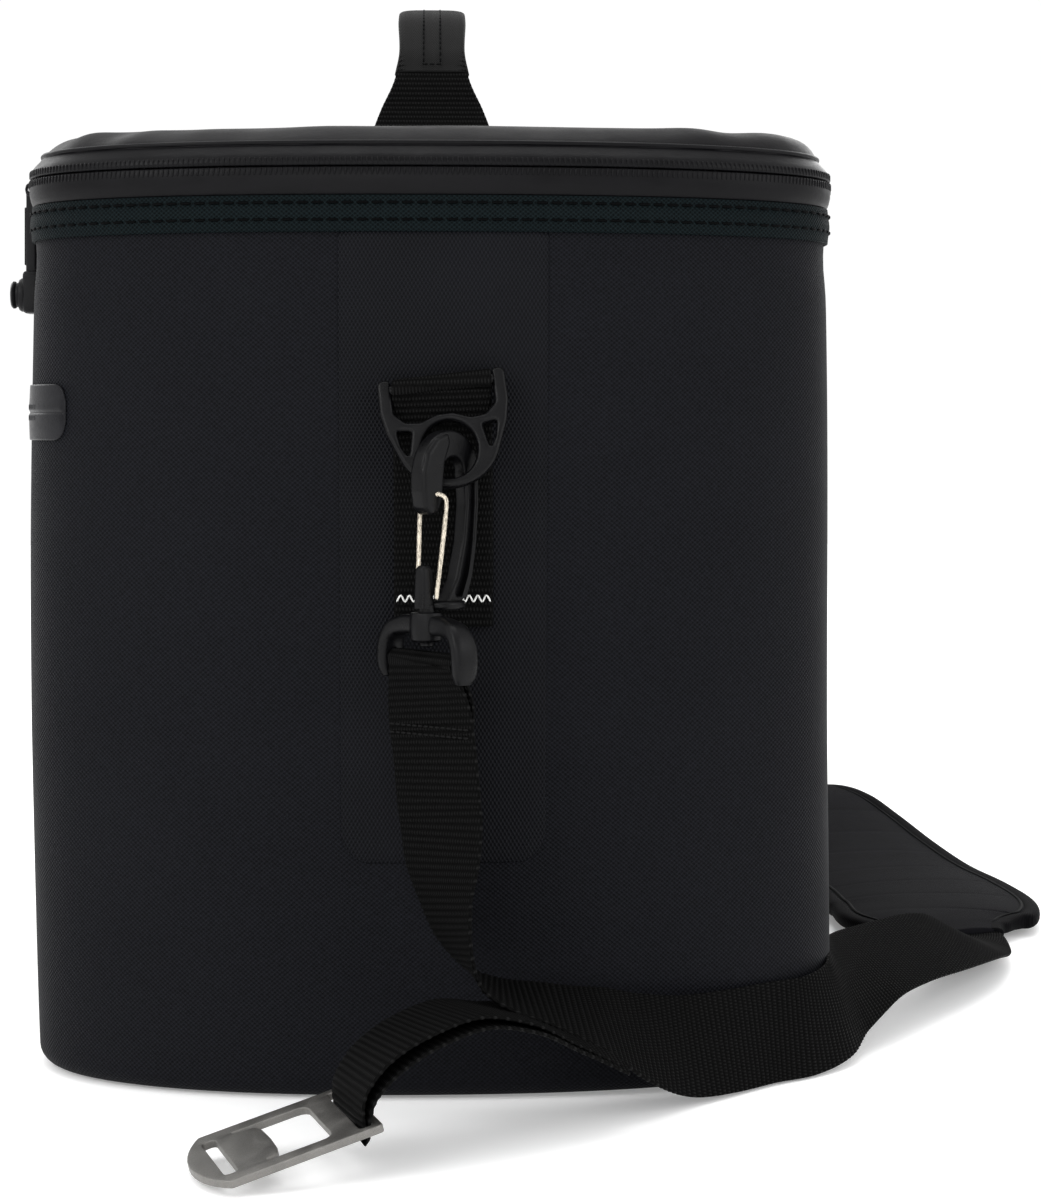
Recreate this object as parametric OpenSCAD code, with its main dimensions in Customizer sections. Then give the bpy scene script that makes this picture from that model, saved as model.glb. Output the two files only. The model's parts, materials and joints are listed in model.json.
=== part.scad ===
// Zip-top insulated storage bag with a clip-on shoulder strap.
// Origin: centre of the base on the floor. +Z is up, -X is the front with the pocket,
// and the bag's length runs along Y, with the near end at -Y.

/* [Body] */
// Width of the body, from front to back
bag_w = 317; // [305:1:325]
// Length of the body between its rounded ends
bag_l = 460; // [440:1:480]
// How far each end bulges past the straight sides
end_depth = 75; // [68:1:82]
// Squareness of the rounded ends, where 2 is an ellipse
end_power = 2.3; // [2:0.1:2.6]
// Height of the zip line above the floor
zip_z = 350.15; // [345:0.05:355]
// Thickness of the outer fabric
skin_t = 1.2; // [1:0.1:1.2]
// Thickness of the foam panels
foam_t = 12.8; // [10:0.1:13]

/* [Lid] */
// Height of the lid's crown above the floor
crown_z = 369; // [367:0.5:372]
// Height of the carry handle's top
handle_z = 438.5; // [435:0.5:450]
// Width of the handle's webbing
handle_w = 50; // [46:1:52]
// Width of the folded and wrapped grip
grip_w = 27; // [24:1:30]

/* [Straps] */
// Width of the shoulder strap's webbing
strap_w = 38; // [36:1:38]
// Thickness of the webbing
strap_t = 1.8; // [1.4:0.1:1.8]
// Width of the shoulder pad
pad_w = 106; // [100:1:108]
// Width of the sewn tab that holds each ring
tab_w = 37; // [34:1:37]

/* [Ring and hook] */
// Overall width of the moulded ring
ring_w = 47; // [46:1:48]
// Thickness of the moulded ring
ring_t = 4.6; // [4:0.1:4.6]
// Sideways tilt of the ring
ring_tilt = 7; // [5:1:8]
// Angle by which the hook holds the ring off the wall
ring_lean = 18; // [17.5:0.5:18.5]
// Angle between the hook's plane and the end of the bag
hook_yaw = 46.5; // [46:0.5:47]

/* [Zip] */
// Position of the main slider along the front
main_slider_y = -120; // [-150:1:150]
// Length of the main puller
main_puller_l = 49; // [40:1:52]
// Position of the pocket slider along the front
pocket_slider_y = 150; // [-150:1:150]

/* [Hidden] */

gap = 0.3;
arc_steps = 32;
half_w = bag_w / 2;
straight_l = bag_l / 2 - end_depth;
base_top = 8;
foam_top = 344.5;
tape_z = [325.5, 339.5];
lower_coil_z = [zip_z - 3.65, zip_z - 0.15];
upper_coil_z = [zip_z + 0.15, zip_z + 3.65];
rim_z = [zip_z + 6.35, zip_z + 9.85];
patch_x = 4.3;
ring_bar = [3.5, -237.2, 268];
bar_r = 2.2;
pin_clear = 0.05;
hook_axis = [-2, -257.2];
hook_t = 5.2;
nose_t = 7;
stem_r = 3;
strap_bar = [-2, -257.2, 167];
strap_yaw = 52;
opener_pos = [-27.9, -311.3, 17.9];
opener_turn = [2.5, -14.7, 18.1];

// Plan outline of the body, grown outwards by g
function signed_pow(v, p) = sign(v) * pow(abs(v), p);
function end_arc(g, from, y0) =
    let (a = half_w + g, d = end_depth + g, p = 2 / end_power)
    [for (i = [0:arc_steps]) let (t = from + 180 * i / arc_steps)
        [a * signed_pow(cos(t), p), y0 + d * signed_pow(sin(t), p)]];
function outline(g = 0) = concat(end_arc(g, 0, straight_l), end_arc(g, 180, -straight_l));

// Bands of webbing: each station is [centre, direction across the width, width, thickness]
function unit(v) = v / norm(v);
function tangent(p, i) = unit(p[min(i + 1, len(p) - 1)][0] - p[max(i - 1, 0)][0]);
function band_ring(p, i) =
    let (t = tangent(p, i), n = unit(cross(t, p[i][1])), u = unit(cross(n, t)))
    let (a = u * p[i][2] / 2, b = n * p[i][3] / 2, c = p[i][0])
    [c + a + b, c + a - b, c - a - b, c - a + b];
function blend_4(a, b, c, d, t) =
    0.5 * (2 * b + (c - a) * t + (2 * a - 5 * b + 4 * c - d) * t * t
    + (3 * b - a - 3 * c + d) * t * t * t);
function station(p, i, t) =
    let (last = len(p) - 1, a = p[max(i - 1, 0)], b = p[i], c = p[min(i + 1, last)], d = p[min(i + 2, last)])
    [for (k = [0:3]) blend_4(a[k], b[k], c[k], d[k], t)];
function smooth(p, n) =
    concat([for (i = [0:len(p) - 2], j = [0:n - 1]) station(p, i, j / n)], [p[len(p) - 1]]);
function webbing(route, w, t) = [for (s = route) [s[0], s[1], w, t]];

module band(p) {
    count = len(p);
    polyhedron(
        points = [for (i = [0:count - 1]) each band_ring(p, i)],
        faces = concat(
            [[3, 2, 1, 0], [for (k = [0:3]) (count - 1) * 4 + k]],
            [for (i = [0:count - 2], k = [0:3]) let (a = i * 4 + k, b = i * 4 + (k + 1) % 4)
                each [[a, b, b + 4], [a, b + 4, a + 4]]]));
}

module slab(g, z) {
    translate([0, 0, z[0]]) linear_extrude(z[1] - z[0]) polygon(outline(g));
}

module ring_wall(g_out, g_in, z) {
    difference() {
        slab(g_out, z);
        slab(g_in, [z[0] - 1, z[1] + 1]);
    }
}

module block(low, high) {
    translate(low) cube(high - low);
}

// Cylinder along Y
module rod_y(x, z, y, r) {
    translate([x, y[0], z]) rotate([-90, 0, 0]) cylinder(r = r, h = y[1] - y[0], $fn = 48);
}

module far_side() {
    rotate([0, 0, 180]) children();
}

// Base and walls

module base_panel() {
    color([0.11, 0.11, 0.12]) difference() {
        union() {
            slab(-5, [0, 2]);
            slab(-1.8, [2, 5]);
            slab(-0.3, [5, base_top]);
        }
        slab(-7, [1.6, base_top + 1]);
    }
}

module base_board() {
    color([0.2, 0.2, 0.2]) slab(-7, [1.6, 4]);
}

module foam_base() {
    color([0.75, 0.75, 0.72]) {
        slab(-7, [4, base_top]);
        slab(-skin_t - foam_t, [base_top, 16]);
    }
}

module foam_side(x0, x1) {
    color([0.75, 0.75, 0.72]) block([x0, -straight_l, base_top], [x1, straight_l, foam_top]);
}

module foam_end() {
    color([0.75, 0.75, 0.72]) intersection() {
        ring_wall(-skin_t, -skin_t - foam_t, [base_top, foam_top]);
        block([-half_w, -bag_l, 0], [half_w, -straight_l, foam_top]);
    }
}

module foam_front() foam_side(-half_w + skin_t + 2.3, -half_w + skin_t + foam_t);
module foam_back() foam_side(half_w - skin_t - foam_t, half_w - skin_t);
module foam_near_end() foam_end();
module foam_far_end() far_side() foam_end();

module inner_liner() {
    outer = -skin_t - foam_t;
    color([0.55, 0.57, 0.6]) difference() {
        slab(outer, [16, foam_top]);
        slab(outer - 1, [17.2, foam_top + 1]);
    }
}

module outer_wall() {
    color([0.14, 0.14, 0.15]) ring_wall(0, -skin_t, [base_top, tape_z[1]]);
}

module binding_tape() {
    color([0.09, 0.11, 0.12]) ring_wall(1.6, 0, tape_z);
}

module lower_zip_tape() {
    color([0.17, 0.17, 0.18]) ring_wall(0.6, -skin_t, [tape_z[1], lower_coil_z[0]]);
}

// The zip runs round the front and both ends, and the cloth hinge closes the back
module zip_row(z) {
    color([0.07, 0.07, 0.08]) difference() {
        ring_wall(1, -skin_t, z);
        block([half_w - 4, -straight_l, z[0] - 1], [half_w + 4, straight_l, z[1] + 1]);
    }
}

module lower_coil() zip_row(lower_coil_z);
module upper_coil() zip_row(upper_coil_z);

module hinge_strip() {
    color([0.09, 0.09, 0.1])
        block([half_w - skin_t, -straight_l, lower_coil_z[0]], [half_w + 1, straight_l, lower_coil_z[1]]);
}

// End patch: the part of a thin layer on the end wall inside a rounded shape
module end_patch() {
    top_w = 80;
    low_w = 77;
    low_z = 89;
    corner = 12;
    color([0.12, 0.12, 0.13]) intersection() {
        ring_wall(1, 0, [low_z, tape_z[0]]);
        translate([patch_x, -bag_l / 2 + 60, 0]) rotate([90, 0, 0]) linear_extrude(80) union() {
            polygon([
                [-low_w / 2, low_z + corner], [low_w / 2, low_z + corner],
                [top_w / 2, tape_z[0]], [-top_w / 2, tape_z[0]]]);
            translate([-low_w / 2 + corner, low_z]) square([low_w - 2 * corner, corner + 1]);
            for (s = [-1, 1]) translate([s * (low_w / 2 - corner), low_z + corner]) circle(corner, $fn = 64);
        }
    }
}

module end_patch_near() end_patch();
module end_patch_far() far_side() end_patch();

// Webbing tab, two layers sewn to the patch, with a loop round the ring's bar
module ring_tab() {
    loop_r = bar_r + 2.1;
    wall_y = -bag_l / 2 - 1.05;
    color([0.1, 0.1, 0.1]) difference() {
        union() {
            block([patch_x - tab_w / 2, wall_y - 3.2, 177], [patch_x + tab_w / 2, wall_y, ring_bar[2] - 2]);
            translate(ring_bar) rotate([0, 90 - ring_tilt, 0])
                cylinder(r = loop_r, h = tab_w, center = true, $fn = 48);
        }
        translate(ring_bar) rotate([0, 90 - ring_tilt, 0])
            cylinder(r = bar_r + gap, h = tab_w + 20, center = true, $fn = 48);
    }
}

module ring_tab_near() ring_tab();
module ring_tab_far() far_side() ring_tab();

// Front pocket

pocket_z = 258;
pocket_y = straight_l + 41;

module pocket_layer(g, height, y_end) {
    intersection() {
        ring_wall(g[1], g[0], [pocket_z - height / 2, pocket_z + height / 2]);
        block([-half_w - 5, -y_end, 0], [-60, y_end, tape_z[0]]);
    }
}

module pocket_zip_strip() color([0.2, 0.2, 0.22]) pocket_layer([0, 1.2], 22, pocket_y);
module pocket_coil() color([0.07, 0.07, 0.08]) pocket_layer([1.2, 2.2], 4, pocket_y - 14);

module pocket_lining() {
    color([0.3, 0.3, 0.32])
        block([-half_w + skin_t, -straight_l + 10, 90], [-half_w + skin_t + 2, straight_l - 10, 262]);
}

// Lid

module crown(g, low_z, high_z) {
    hull() {
        slab(g, [low_z, low_z + 2]);
        slab(g - 4, [low_z + 2, high_z - 4]);
        slab(g - 22, [high_z - 2, high_z - 1.2]);
        slab(g - 50, [high_z - 1, high_z]);
    }
}

module lid_band() color([0.17, 0.17, 0.18]) ring_wall(1.6, 0, [upper_coil_z[1], rim_z[0]]);
module lid_rim() color([0.2, 0.2, 0.21]) ring_wall(2.6, 1.2, rim_z);

module lid_top() {
    color([0.17, 0.17, 0.18]) difference() {
        crown(1.2, rim_z[0], crown_z);
        crown(0, rim_z[0] - 0.1, crown_z - 1.2);
    }
}

module lid_foam() {
    color([0.75, 0.75, 0.72]) {
        slab(-1.4, [zip_z + 2, upper_coil_z[1]]);
        slab(0, [upper_coil_z[1], rim_z[0] - 0.1]);
        crown(-0.1, rim_z[0] - 0.1, crown_z - 1.35);
    }
}

module lid_liner() color([0.55, 0.57, 0.6]) slab(-1.4, [zip_z + 0.6, zip_z + 2]);

// Carry handle

handle_foot_z = crown_z + 3.6;
handle_half = [
    [[0, -142, handle_foot_z], [1, 0, 0], handle_w, 3],
    [[0, -113, handle_foot_z], [1, 0, 0], handle_w, 3],
    [[0, -103, handle_foot_z + 4.5], [1, 0, 0], handle_w, 3],
    [[0, -96, handle_foot_z + 15], [1, 0, 0], handle_w - 7, 3],
    [[0, -90, handle_foot_z + 28], [1, 0, 0], grip_w + 5.5, 3],
    [[0, -81, handle_foot_z + 42], [1, 0, 0], grip_w + 0.5, 3],
    [[0, -63, handle_z - 9.5], [1, 0, 0], grip_w, 3],
    [[0, -40, handle_z - 2.8], [1, 0, 0], grip_w, 3],
    [[0, -18, handle_z - 0.6], [1, 0, 0], grip_w, 3]
];
function mirrored(s) = [[s[0][0], -s[0][1], s[0][2]], s[1], s[2], s[3]];
handle_route = concat(
    handle_half,
    [[[0, 0, handle_z], [1, 0, 0], grip_w, 3]],
    [for (i = [len(handle_half) - 1:-1:0]) mirrored(handle_half[i])]);

module carry_handle() color([0.1, 0.1, 0.1]) band(smooth(handle_route, 4));

module handle_grip() {
    grip_half = 42;
    color([0.09, 0.09, 0.09]) intersection() {
        difference() {
            band([for (s = smooth(handle_route, 4)) [s[0], s[1], grip_w + 4, 7]]);
            band([for (s = smooth(handle_route, 4)) [s[0], s[1], s[2] + 0.1, 3.1]]);
        }
        block([-40, -grip_half, handle_z - 30], [40, grip_half, handle_z + 20]);
    }
}

module handle_anchor() {
    color([0.12, 0.12, 0.13]) block([-34, -152, crown_z + 0.05], [34, -104, crown_z + 1.4]);
}

module handle_anchor_near() handle_anchor();
module handle_anchor_far() far_side() handle_anchor();

// Zip sliders on the front, each with a pin that its puller hangs on

pin_r = 1.2;

module slider_body(y, z, face_x, pin_x) {
    plate = [face_x - 2.2, face_x];
    color([0.1, 0.1, 0.11]) {
        block([plate[0], y - 8, z - 5], [plate[1], y + 8, z + 5]);
        for (s = [-1, 1]) difference() {
            block([pin_x - 2.4, y + s * 6.9 - 1.1, z - 3], [plate[0], y + s * 6.9 + 1.1, z + 3]);
            rod_y(pin_x, z, [y - 12, y + 12], pin_r);
        }
    }
}

module slider_pin(y, z, pin_x) color([0.3, 0.3, 0.3]) rod_y(pin_x, z, [y - 8, y + 8], pin_r);

main_face_x = -half_w - 2.1;
main_pin_x = main_face_x - 5.2;
pocket_face_x = -half_w - 2.6;
pocket_pin_x = pocket_face_x - 4.6;

module main_slider() slider_body(main_slider_y, zip_z, main_face_x, main_pin_x);
module main_slider_pin() slider_pin(main_slider_y, zip_z, main_pin_x);

module main_puller() {
    y = main_slider_y;
    low = zip_z - main_puller_l - 2;
    block_h = 18;
    knob_r = 6.3;
    color([0.1, 0.1, 0.11]) difference() {
        union() {
            rod_y(main_pin_x, zip_z, [y - 5.5, y + 5.5], 2.5);
            block([main_pin_x - 2.5, y - 5.5, low], [main_pin_x + 2.5, y + 5.5, zip_z]);
            block([main_pin_x - 3.6, y - 7.5, low], [main_pin_x + 3.4, y + 7.5, low + block_h]);
            translate([main_pin_x - 9, y, low + knob_r + 0.5]) rotate([0, 90, 0])
                cylinder(r = knob_r, h = 9, $fn = 48);
        }
        rod_y(main_pin_x, zip_z, [y - 9, y + 9], pin_r + pin_clear);
    }
}

module pocket_slider() slider_body(pocket_slider_y, pocket_z, pocket_face_x, pocket_pin_x);
module pocket_slider_pin() slider_pin(pocket_slider_y, pocket_z, pocket_pin_x);

module pocket_puller() {
    y = pocket_slider_y;
    color([0.1, 0.1, 0.11]) difference() {
        union() {
            rod_y(pocket_pin_x, pocket_z, [y - 5.5, y + 5.5], 2.1);
            block([pocket_pin_x - 1.6, y - 4.5, pocket_z - 34], [pocket_pin_x + 1.6, y + 4.5, pocket_z]);
        }
        rod_y(pocket_pin_x, pocket_z, [y - 9, y + 9], pin_r + pin_clear);
    }
}

// Moulded ring, drawn in its own plane with the bar's centre at the origin, hanging down

module ring_shape() {
    half = ring_w / 2;
    hole_z = -27.5;
    difference() {
        union() {
            polygon([
                [-half, bar_r], [half, bar_r], [half, -9], [half - 1.6, -17], [half - 4.5, -25],
                [half - 9.5, -33], [-half + 9.5, -33], [-half + 4.5, -25], [-half + 1.6, -17], [-half, -9]]);
            translate([0, -20.6]) circle(19.4, $fn = 96);
        }
        translate([-tab_w / 2 - 1, -12]) square([tab_w + 2, 12 - bar_r]);
        translate([0, hole_z]) circle(11.2, $fn = 96);
        for (s = [-1, 1])
            polygon([[s * 12.6, -15.5], [s * 17.6, -15.5], [s * 16.2, -21], [s * 14.4, -24]]);
    }
}

module ring() {
    color([0.18, 0.18, 0.19]) translate(ring_bar) rotate([-ring_lean, -ring_tilt, 0]) union() {
        difference() {
            rotate([90, 0, 0]) linear_extrude(ring_t, center = true) ring_shape();
            block([-tab_w / 2 - 1, -5, -bar_r - 1], [tab_w / 2 + 1, 5, bar_r + 1]);
        }
        rotate([0, 90, 0]) cylinder(r = bar_r, h = tab_w + 2.4, center = true, $fn = 48);
    }
}

module ring_near() ring();
module ring_far() far_side() ring();

// Snap hook. The hook's own plane holds its axis, with u across it towards the spine

module in_hook_plane() {
    translate([hook_axis[0], hook_axis[1], 0]) rotate([0, 0, hook_yaw]) children();
}

module spine_shape() {
    bow = [10.2, 236];
    difference() {
        union() {
            intersection() {
                translate(bow) circle(15, $fn = 96);
                translate([-30, bow[1]]) square([60, 30]);
            }
            polygon([
                [25.2, 236.1], [24.9, 224], [23.4, 210], [20, 198], [15, 190], [15, 185.4], [-6, 185.4],
                [-6, 189.5], [9, 189.5], [13.6, 197], [17, 210], [18.6, 224], [18.6, 236.1]]);
        }
        translate(bow) circle(7.4, $fn = 96);
        translate([-40, bow[1] - 20]) square([bow[0] + 40, 20]);
    }
}

module nose_shape() {
    polygon([[-4.6, 236.1], [-4.4, 228], [-2.8, 223.5], [0, 222.2], [2.2, 224.5], [2.6, 236.1]]);
}

module hook() {
    color([0.18, 0.18, 0.19]) in_hook_plane() {
        rotate([90, 0, 0]) linear_extrude(hook_t, center = true) spine_shape();
        rotate([90, 0, 0]) linear_extrude(nose_t, center = true) nose_shape();
        translate([0, 0, 175.9]) cylinder(r = stem_r, h = 10, $fn = 48);
    }
}

gate_pivot = [1, 192];
gate_top = [3.6, 220.6];
gate_half = 6;
wire_r = 0.9;

module gate() {
    reach = norm(gate_top - gate_pivot);
    angle = atan2(gate_top[0] - gate_pivot[0], gate_top[1] - gate_pivot[1]);
    color([0.75, 0.72, 0.65]) in_hook_plane() translate([gate_pivot[0], 0, gate_pivot[1]]) rotate([0, angle, 0]) {
        for (s = [-1, 1]) translate([0, s * gate_half, 0]) cylinder(r = wire_r, h = reach, $fn = 24);
        for (h = [0, reach]) translate([0, 0, h]) rotate([90, 0, 0])
            cylinder(r = wire_r, h = 2 * (gate_half + wire_r), center = true, $fn = 24);
    }
}

module hook_near() hook();
module hook_far() far_side() hook();
module gate_near() gate();
module gate_far() far_side() gate();

// Swivel base: a barrel for the hook's stem above a frame with the strap's bar

module swivel() {
    half = strap_w / 2 + 4;
    color([0.18, 0.18, 0.19]) difference() {
        union() {
            translate([hook_axis[0], hook_axis[1], 174.2]) cylinder(r = 5, h = 10.7, $fn = 48);
            translate(strap_bar) rotate([0, 0, -strap_yaw]) {
                rotate([90, 0, 0]) linear_extrude(4.4, center = true) difference() {
                    polygon([
                        [-7, 12.5], [7, 12.5], [half - 4, 6.5], [half, 0], [half - 0.6, -7],
                        [-half + 0.6, -7], [-half, 0], [-half + 4, 6.5]]);
                    polygon([
                        [-3, 6.2], [3, 6.2], [half - 6, 4.4], [half - 3.4, 0], [half - 3.4, -8],
                        [-half + 3.4, -8], [-half + 3.4, 0], [-half + 6, 4.4]]);
                }
                rotate([0, 90, 0]) cylinder(r = bar_r, h = strap_w + 4, center = true, $fn = 48);
            }
        }
        translate([hook_axis[0], hook_axis[1], 175.4]) cylinder(r = stem_r + pin_clear, h = 20, $fn = 48);
    }
}

module swivel_near() swivel();
module swivel_far() far_side() swivel();

// Each strap end wraps the bar and is sewn back on itself. It stops where the free strap starts
strap_split_z = 108;
strap_end_route = [
    [[-2, -257.2, 164], [0.7, -0.71, 0]], [[-1.2, -257.2, 150], [0.78, -0.62, 0]],
    [[1, -257.3, 132], [0.8, -0.6, 0]], [[2.4, -257.5, 116], [0.8, -0.6, 0]],
    [[3.1, -257.7, strap_split_z + 1.5], [0.79, -0.61, 0]]
];

module strap_end() {
    color([0.1, 0.1, 0.1]) difference() {
        union() {
            translate(strap_bar) rotate([0, 90, -strap_yaw])
                cylinder(r = bar_r + 1.9, h = strap_w, center = true, $fn = 48);
            band(smooth(webbing(strap_end_route, strap_w, 2 * strap_t), 3));
        }
        translate(strap_bar) rotate([0, 90, -strap_yaw])
            cylinder(r = bar_r + 0.02, h = strap_w + 10, center = true, $fn = 48);
    }
}

module strap_end_near() strap_end();
module strap_end_far() far_side() strap_end();

// Free strap: down from the near hook, over a low arch, on edge along the floor, flat to the pad
near_route = [
    [[3.2, -257.8, 108], [0.79, -0.61, 0]], [[3.7, -258.7, 94], [0.7, -0.72, 0]],
    [[5, -260, 80], [0.5, -0.87, 0]], [[8.5, -261.3, 66], [0.36, -0.93, -0.05]],
    [[15.5, -262.3, 54], [0.2, -0.98, -0.05]], [[27, -262.8, 47], [0.08, -0.99, -0.08]],
    [[43, -261, 42.5], [0.02, -0.98, -0.18]], [[61, -257, 36], [0, -0.93, -0.36]],
    [[78, -247, 27], [0.02, -0.75, -0.66]], [[95, -235.5, 21], [0.04, -0.45, -0.89]],
    [[113, -223, 19.6], [0.05, -0.25, -0.96]], [[130, -210.5, 19.6], [0.05, -0.14, -0.99]],
    [[147.5, -199, 19.6], [0.08, -0.12, -0.99]], [[161, -183, 22], [0.2, -0.16, -0.96]], [[168.5, -161, 26.5], [0.38, -0.28, -0.86]],
    [[179.5, -136, 29], [0.64, -0.42, -0.64]], [[198, -106, 28], [0.7, -0.46, -0.54]],
    [[220, -75, 26], [0.7, -0.48, -0.53]], [[240, -40, 21], [0.8, -0.42, -0.43]],
    [[251, -8, 13], [0.9, -0.3, -0.3]], [[255, 14, 8.5], [0.96, -0.2, -0.15]],
    [[256, 30, 6.5], [0.98, -0.1, 0]]
];
adjuster_pos = [88, 352, 8];
adjuster_dir = 12;
adjuster_along = [cos(adjuster_dir), sin(adjuster_dir), 0];
adjuster_across = [sin(adjuster_dir), -cos(adjuster_dir), 0];
far_route = [
    [[-3.2, 257.8, 108], [-0.78, 0.62, 0]], [[-3.5, 258.8, 90], [-0.8, 0.6, 0]],
    [[-3, 261, 68], [-0.85, 0.52, 0]], [[-1, 265.5, 46], [-0.9, 0.43, 0]],
    [[4, 275, 26], [-0.93, 0.36, 0]], [[12, 292, 11], [-0.9, 0.43, 0]],
    [[24, 312, 4.5], [-0.8, 0.6, 0]], [[38, 328, 4.5], [-0.6, 0.8, 0]],
    each [for (d = [-40, -30, 0, 30, 40]) [adjuster_pos + d * adjuster_along, -adjuster_across]],
    [[140, 366, 5.5], [-0.18, 0.98, 0]],
    [[166, 368, 5.5], [0.1, 1, 0]], [[190, 363, 12], [0.45, 0.89, 0]],
    [[206, 353, 24], [0.8, 0.6, 0]], [[213, 343, 33], [0.97, 0.2, 0]]
];

module strap_near_run() color([0.1, 0.1, 0.1]) band(smooth(webbing(near_route, strap_w, strap_t), 3));
module strap_far_run() color([0.1, 0.1, 0.1]) band(smooth(webbing(far_route, strap_w, strap_t), 3));

// Shoulder pad, lying on the floor, with its far end curled up
pad_route = [
    [[256, 31, 6.5], [0.98, -0.1, 0], 42, 6], [[251, 46, 7], [0.97, 0.1, 0], 66, 9],
    [[249, 68, 7], [0.96, 0.2, 0], pad_w - 12, 11], [[254, 98, 7], [0.98, 0.1, 0], pad_w, 12],
    [[252, 142, 7], [0.98, 0.12, 0], pad_w, 12], [[243, 188, 8], [0.98, 0.2, 0], pad_w, 12],
    [[234, 236, 13], [0.98, 0.2, 0], pad_w - 2, 12], [[225, 282, 21], [0.99, 0.15, 0], pad_w - 8, 12],
    [[218, 312, 28], [1, 0.05, 0], 86, 11], [[214, 330, 32], [1, 0.02, 0], 64, 9],
    [[213, 342, 33.2], [0.98, 0, 0], 42, 6]
];

module shoulder_pad() color([0.13, 0.13, 0.14]) band(smooth(pad_route, 2));

// Strap adjuster: the strap runs over the middle bar and under the two end bars

module strap_adjuster() {
    half = strap_w / 2;
    side = 3.2;
    clear = strap_t / 2 + 0.5;
    bar_t = 2.6;
    color([0.16, 0.16, 0.17]) translate(adjuster_pos) rotate([0, 0, adjuster_dir]) {
        for (s = [-1, 1])
            block([-15, s * (half + 0.9 + side / 2) - side / 2, -clear - bar_t],
                [15, s * (half + 0.9 + side / 2) + side / 2, clear + bar_t]);
        block([-3, -half - 1, -clear - bar_t], [3, half + 1, -clear]);
        for (s = [-1, 1])
            block([s * 12.5 - 2.5, -half - 1, clear], [s * 12.5 + 2.5, half + 1, clear + bar_t]);
    }
}

// Bottle opener plate, drawn along -X from the slot that its webbing loop passes through

opener_l = 63;
opener_w = 46;
opener_t = 2.8;

module slot_shape(x, length) {
    translate([x, 0]) square([5.2, length], center = true);
}

module bottle_opener() {
    slot_edge = 5;
    round_x = slot_edge + 12 - opener_l;
    mouth_x = -20;
    color([0.6, 0.6, 0.59]) translate(opener_pos) rotate(opener_turn)
        linear_extrude(opener_t, center = true) difference() {
            union() {
                translate([round_x - 2, -opener_w / 2]) square([slot_edge - round_x + 2, opener_w]);
                intersection() {
                    translate([round_x - 30, -opener_w / 2]) square([31, opener_w]);
                    translate([round_x + 23.9, 0]) circle(35.4, $fn = 96);
                }
            }
            slot_shape(0, opener_w - 6);
            slot_shape(round_x - 1, opener_w - 12);
            translate([mouth_x - 10, -17]) square([19, 34]);
            translate([mouth_x - 18, 15.4]) square([9, 1.6]);
            translate([mouth_x - 14.5, -17]) square([5.5, 1.6]);
        }
}

// Short webbing loop: through the opener's slot, over an arch and under the strap
loop_route = [
    [[-27.1, -311.1, 14.2], [0.31, -0.95, 0.04]], [[-28.7, -311.4, 21.6], [0.31, -0.95, 0.04]],
    [[-27, -310.6, 29], [0.31, -0.95, 0.04]], [[-19.5, -307.5, 38], [0.33, -0.94, 0.04]],
    [[-7, -302, 45], [0.37, -0.92, 0.04]], [[9, -294, 49], [0.42, -0.9, 0.04]],
    [[26, -284, 45], [0.4, -0.91, 0.02]], [[43, -272.5, 38.5], [0.2, -0.97, -0.12]],
    [[62, -261, 32.6], [0.03, -0.93, -0.36]]
];

module opener_loop() color([0.1, 0.1, 0.1]) band(smooth(webbing(loop_route, strap_w, 1.6), 3));

base_panel();
base_board();
foam_base();
foam_front();
foam_back();
foam_near_end();
foam_far_end();
inner_liner();
outer_wall();
binding_tape();
lower_zip_tape();
lower_coil();
hinge_strip();
end_patch_near();
end_patch_far();
ring_tab_near();
ring_tab_far();
pocket_zip_strip();
pocket_coil();
pocket_lining();
upper_coil();
lid_band();
lid_rim();
lid_top();
lid_foam();
lid_liner();
carry_handle();
handle_grip();
handle_anchor_near();
handle_anchor_far();
main_slider();
main_slider_pin();
main_puller();
pocket_slider();
pocket_slider_pin();
pocket_puller();
ring_near();
ring_far();
swivel_near();
swivel_far();
strap_end_near();
strap_end_far();
hook_near();
hook_far();
gate_near();
gate_far();
strap_near_run();
strap_far_run();
shoulder_pad();
opener_loop();
bottle_opener();
strap_adjuster();
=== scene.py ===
import json
import math

import bmesh
import bpy
import numpy as np
from mathutils import Matrix, Vector


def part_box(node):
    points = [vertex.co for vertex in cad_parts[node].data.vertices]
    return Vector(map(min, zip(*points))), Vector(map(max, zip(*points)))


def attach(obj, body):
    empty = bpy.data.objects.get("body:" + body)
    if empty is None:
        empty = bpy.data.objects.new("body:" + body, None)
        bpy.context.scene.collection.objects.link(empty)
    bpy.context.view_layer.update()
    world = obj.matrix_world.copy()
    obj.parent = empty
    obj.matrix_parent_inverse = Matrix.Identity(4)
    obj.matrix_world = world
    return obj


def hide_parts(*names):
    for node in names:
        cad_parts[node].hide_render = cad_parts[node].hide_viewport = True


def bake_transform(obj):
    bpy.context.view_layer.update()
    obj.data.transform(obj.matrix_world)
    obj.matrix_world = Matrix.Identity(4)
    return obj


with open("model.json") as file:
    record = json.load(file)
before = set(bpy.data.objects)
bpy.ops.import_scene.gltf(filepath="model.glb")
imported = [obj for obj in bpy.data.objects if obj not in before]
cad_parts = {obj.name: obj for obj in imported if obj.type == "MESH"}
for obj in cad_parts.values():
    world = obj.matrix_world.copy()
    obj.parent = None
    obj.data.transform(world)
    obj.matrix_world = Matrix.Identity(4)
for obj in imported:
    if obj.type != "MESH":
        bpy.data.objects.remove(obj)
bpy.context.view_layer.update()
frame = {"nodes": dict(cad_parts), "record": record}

# Lengths below are in millimetres, in the row frame, and become metres when a mesh is made.
MM = 0.001


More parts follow.
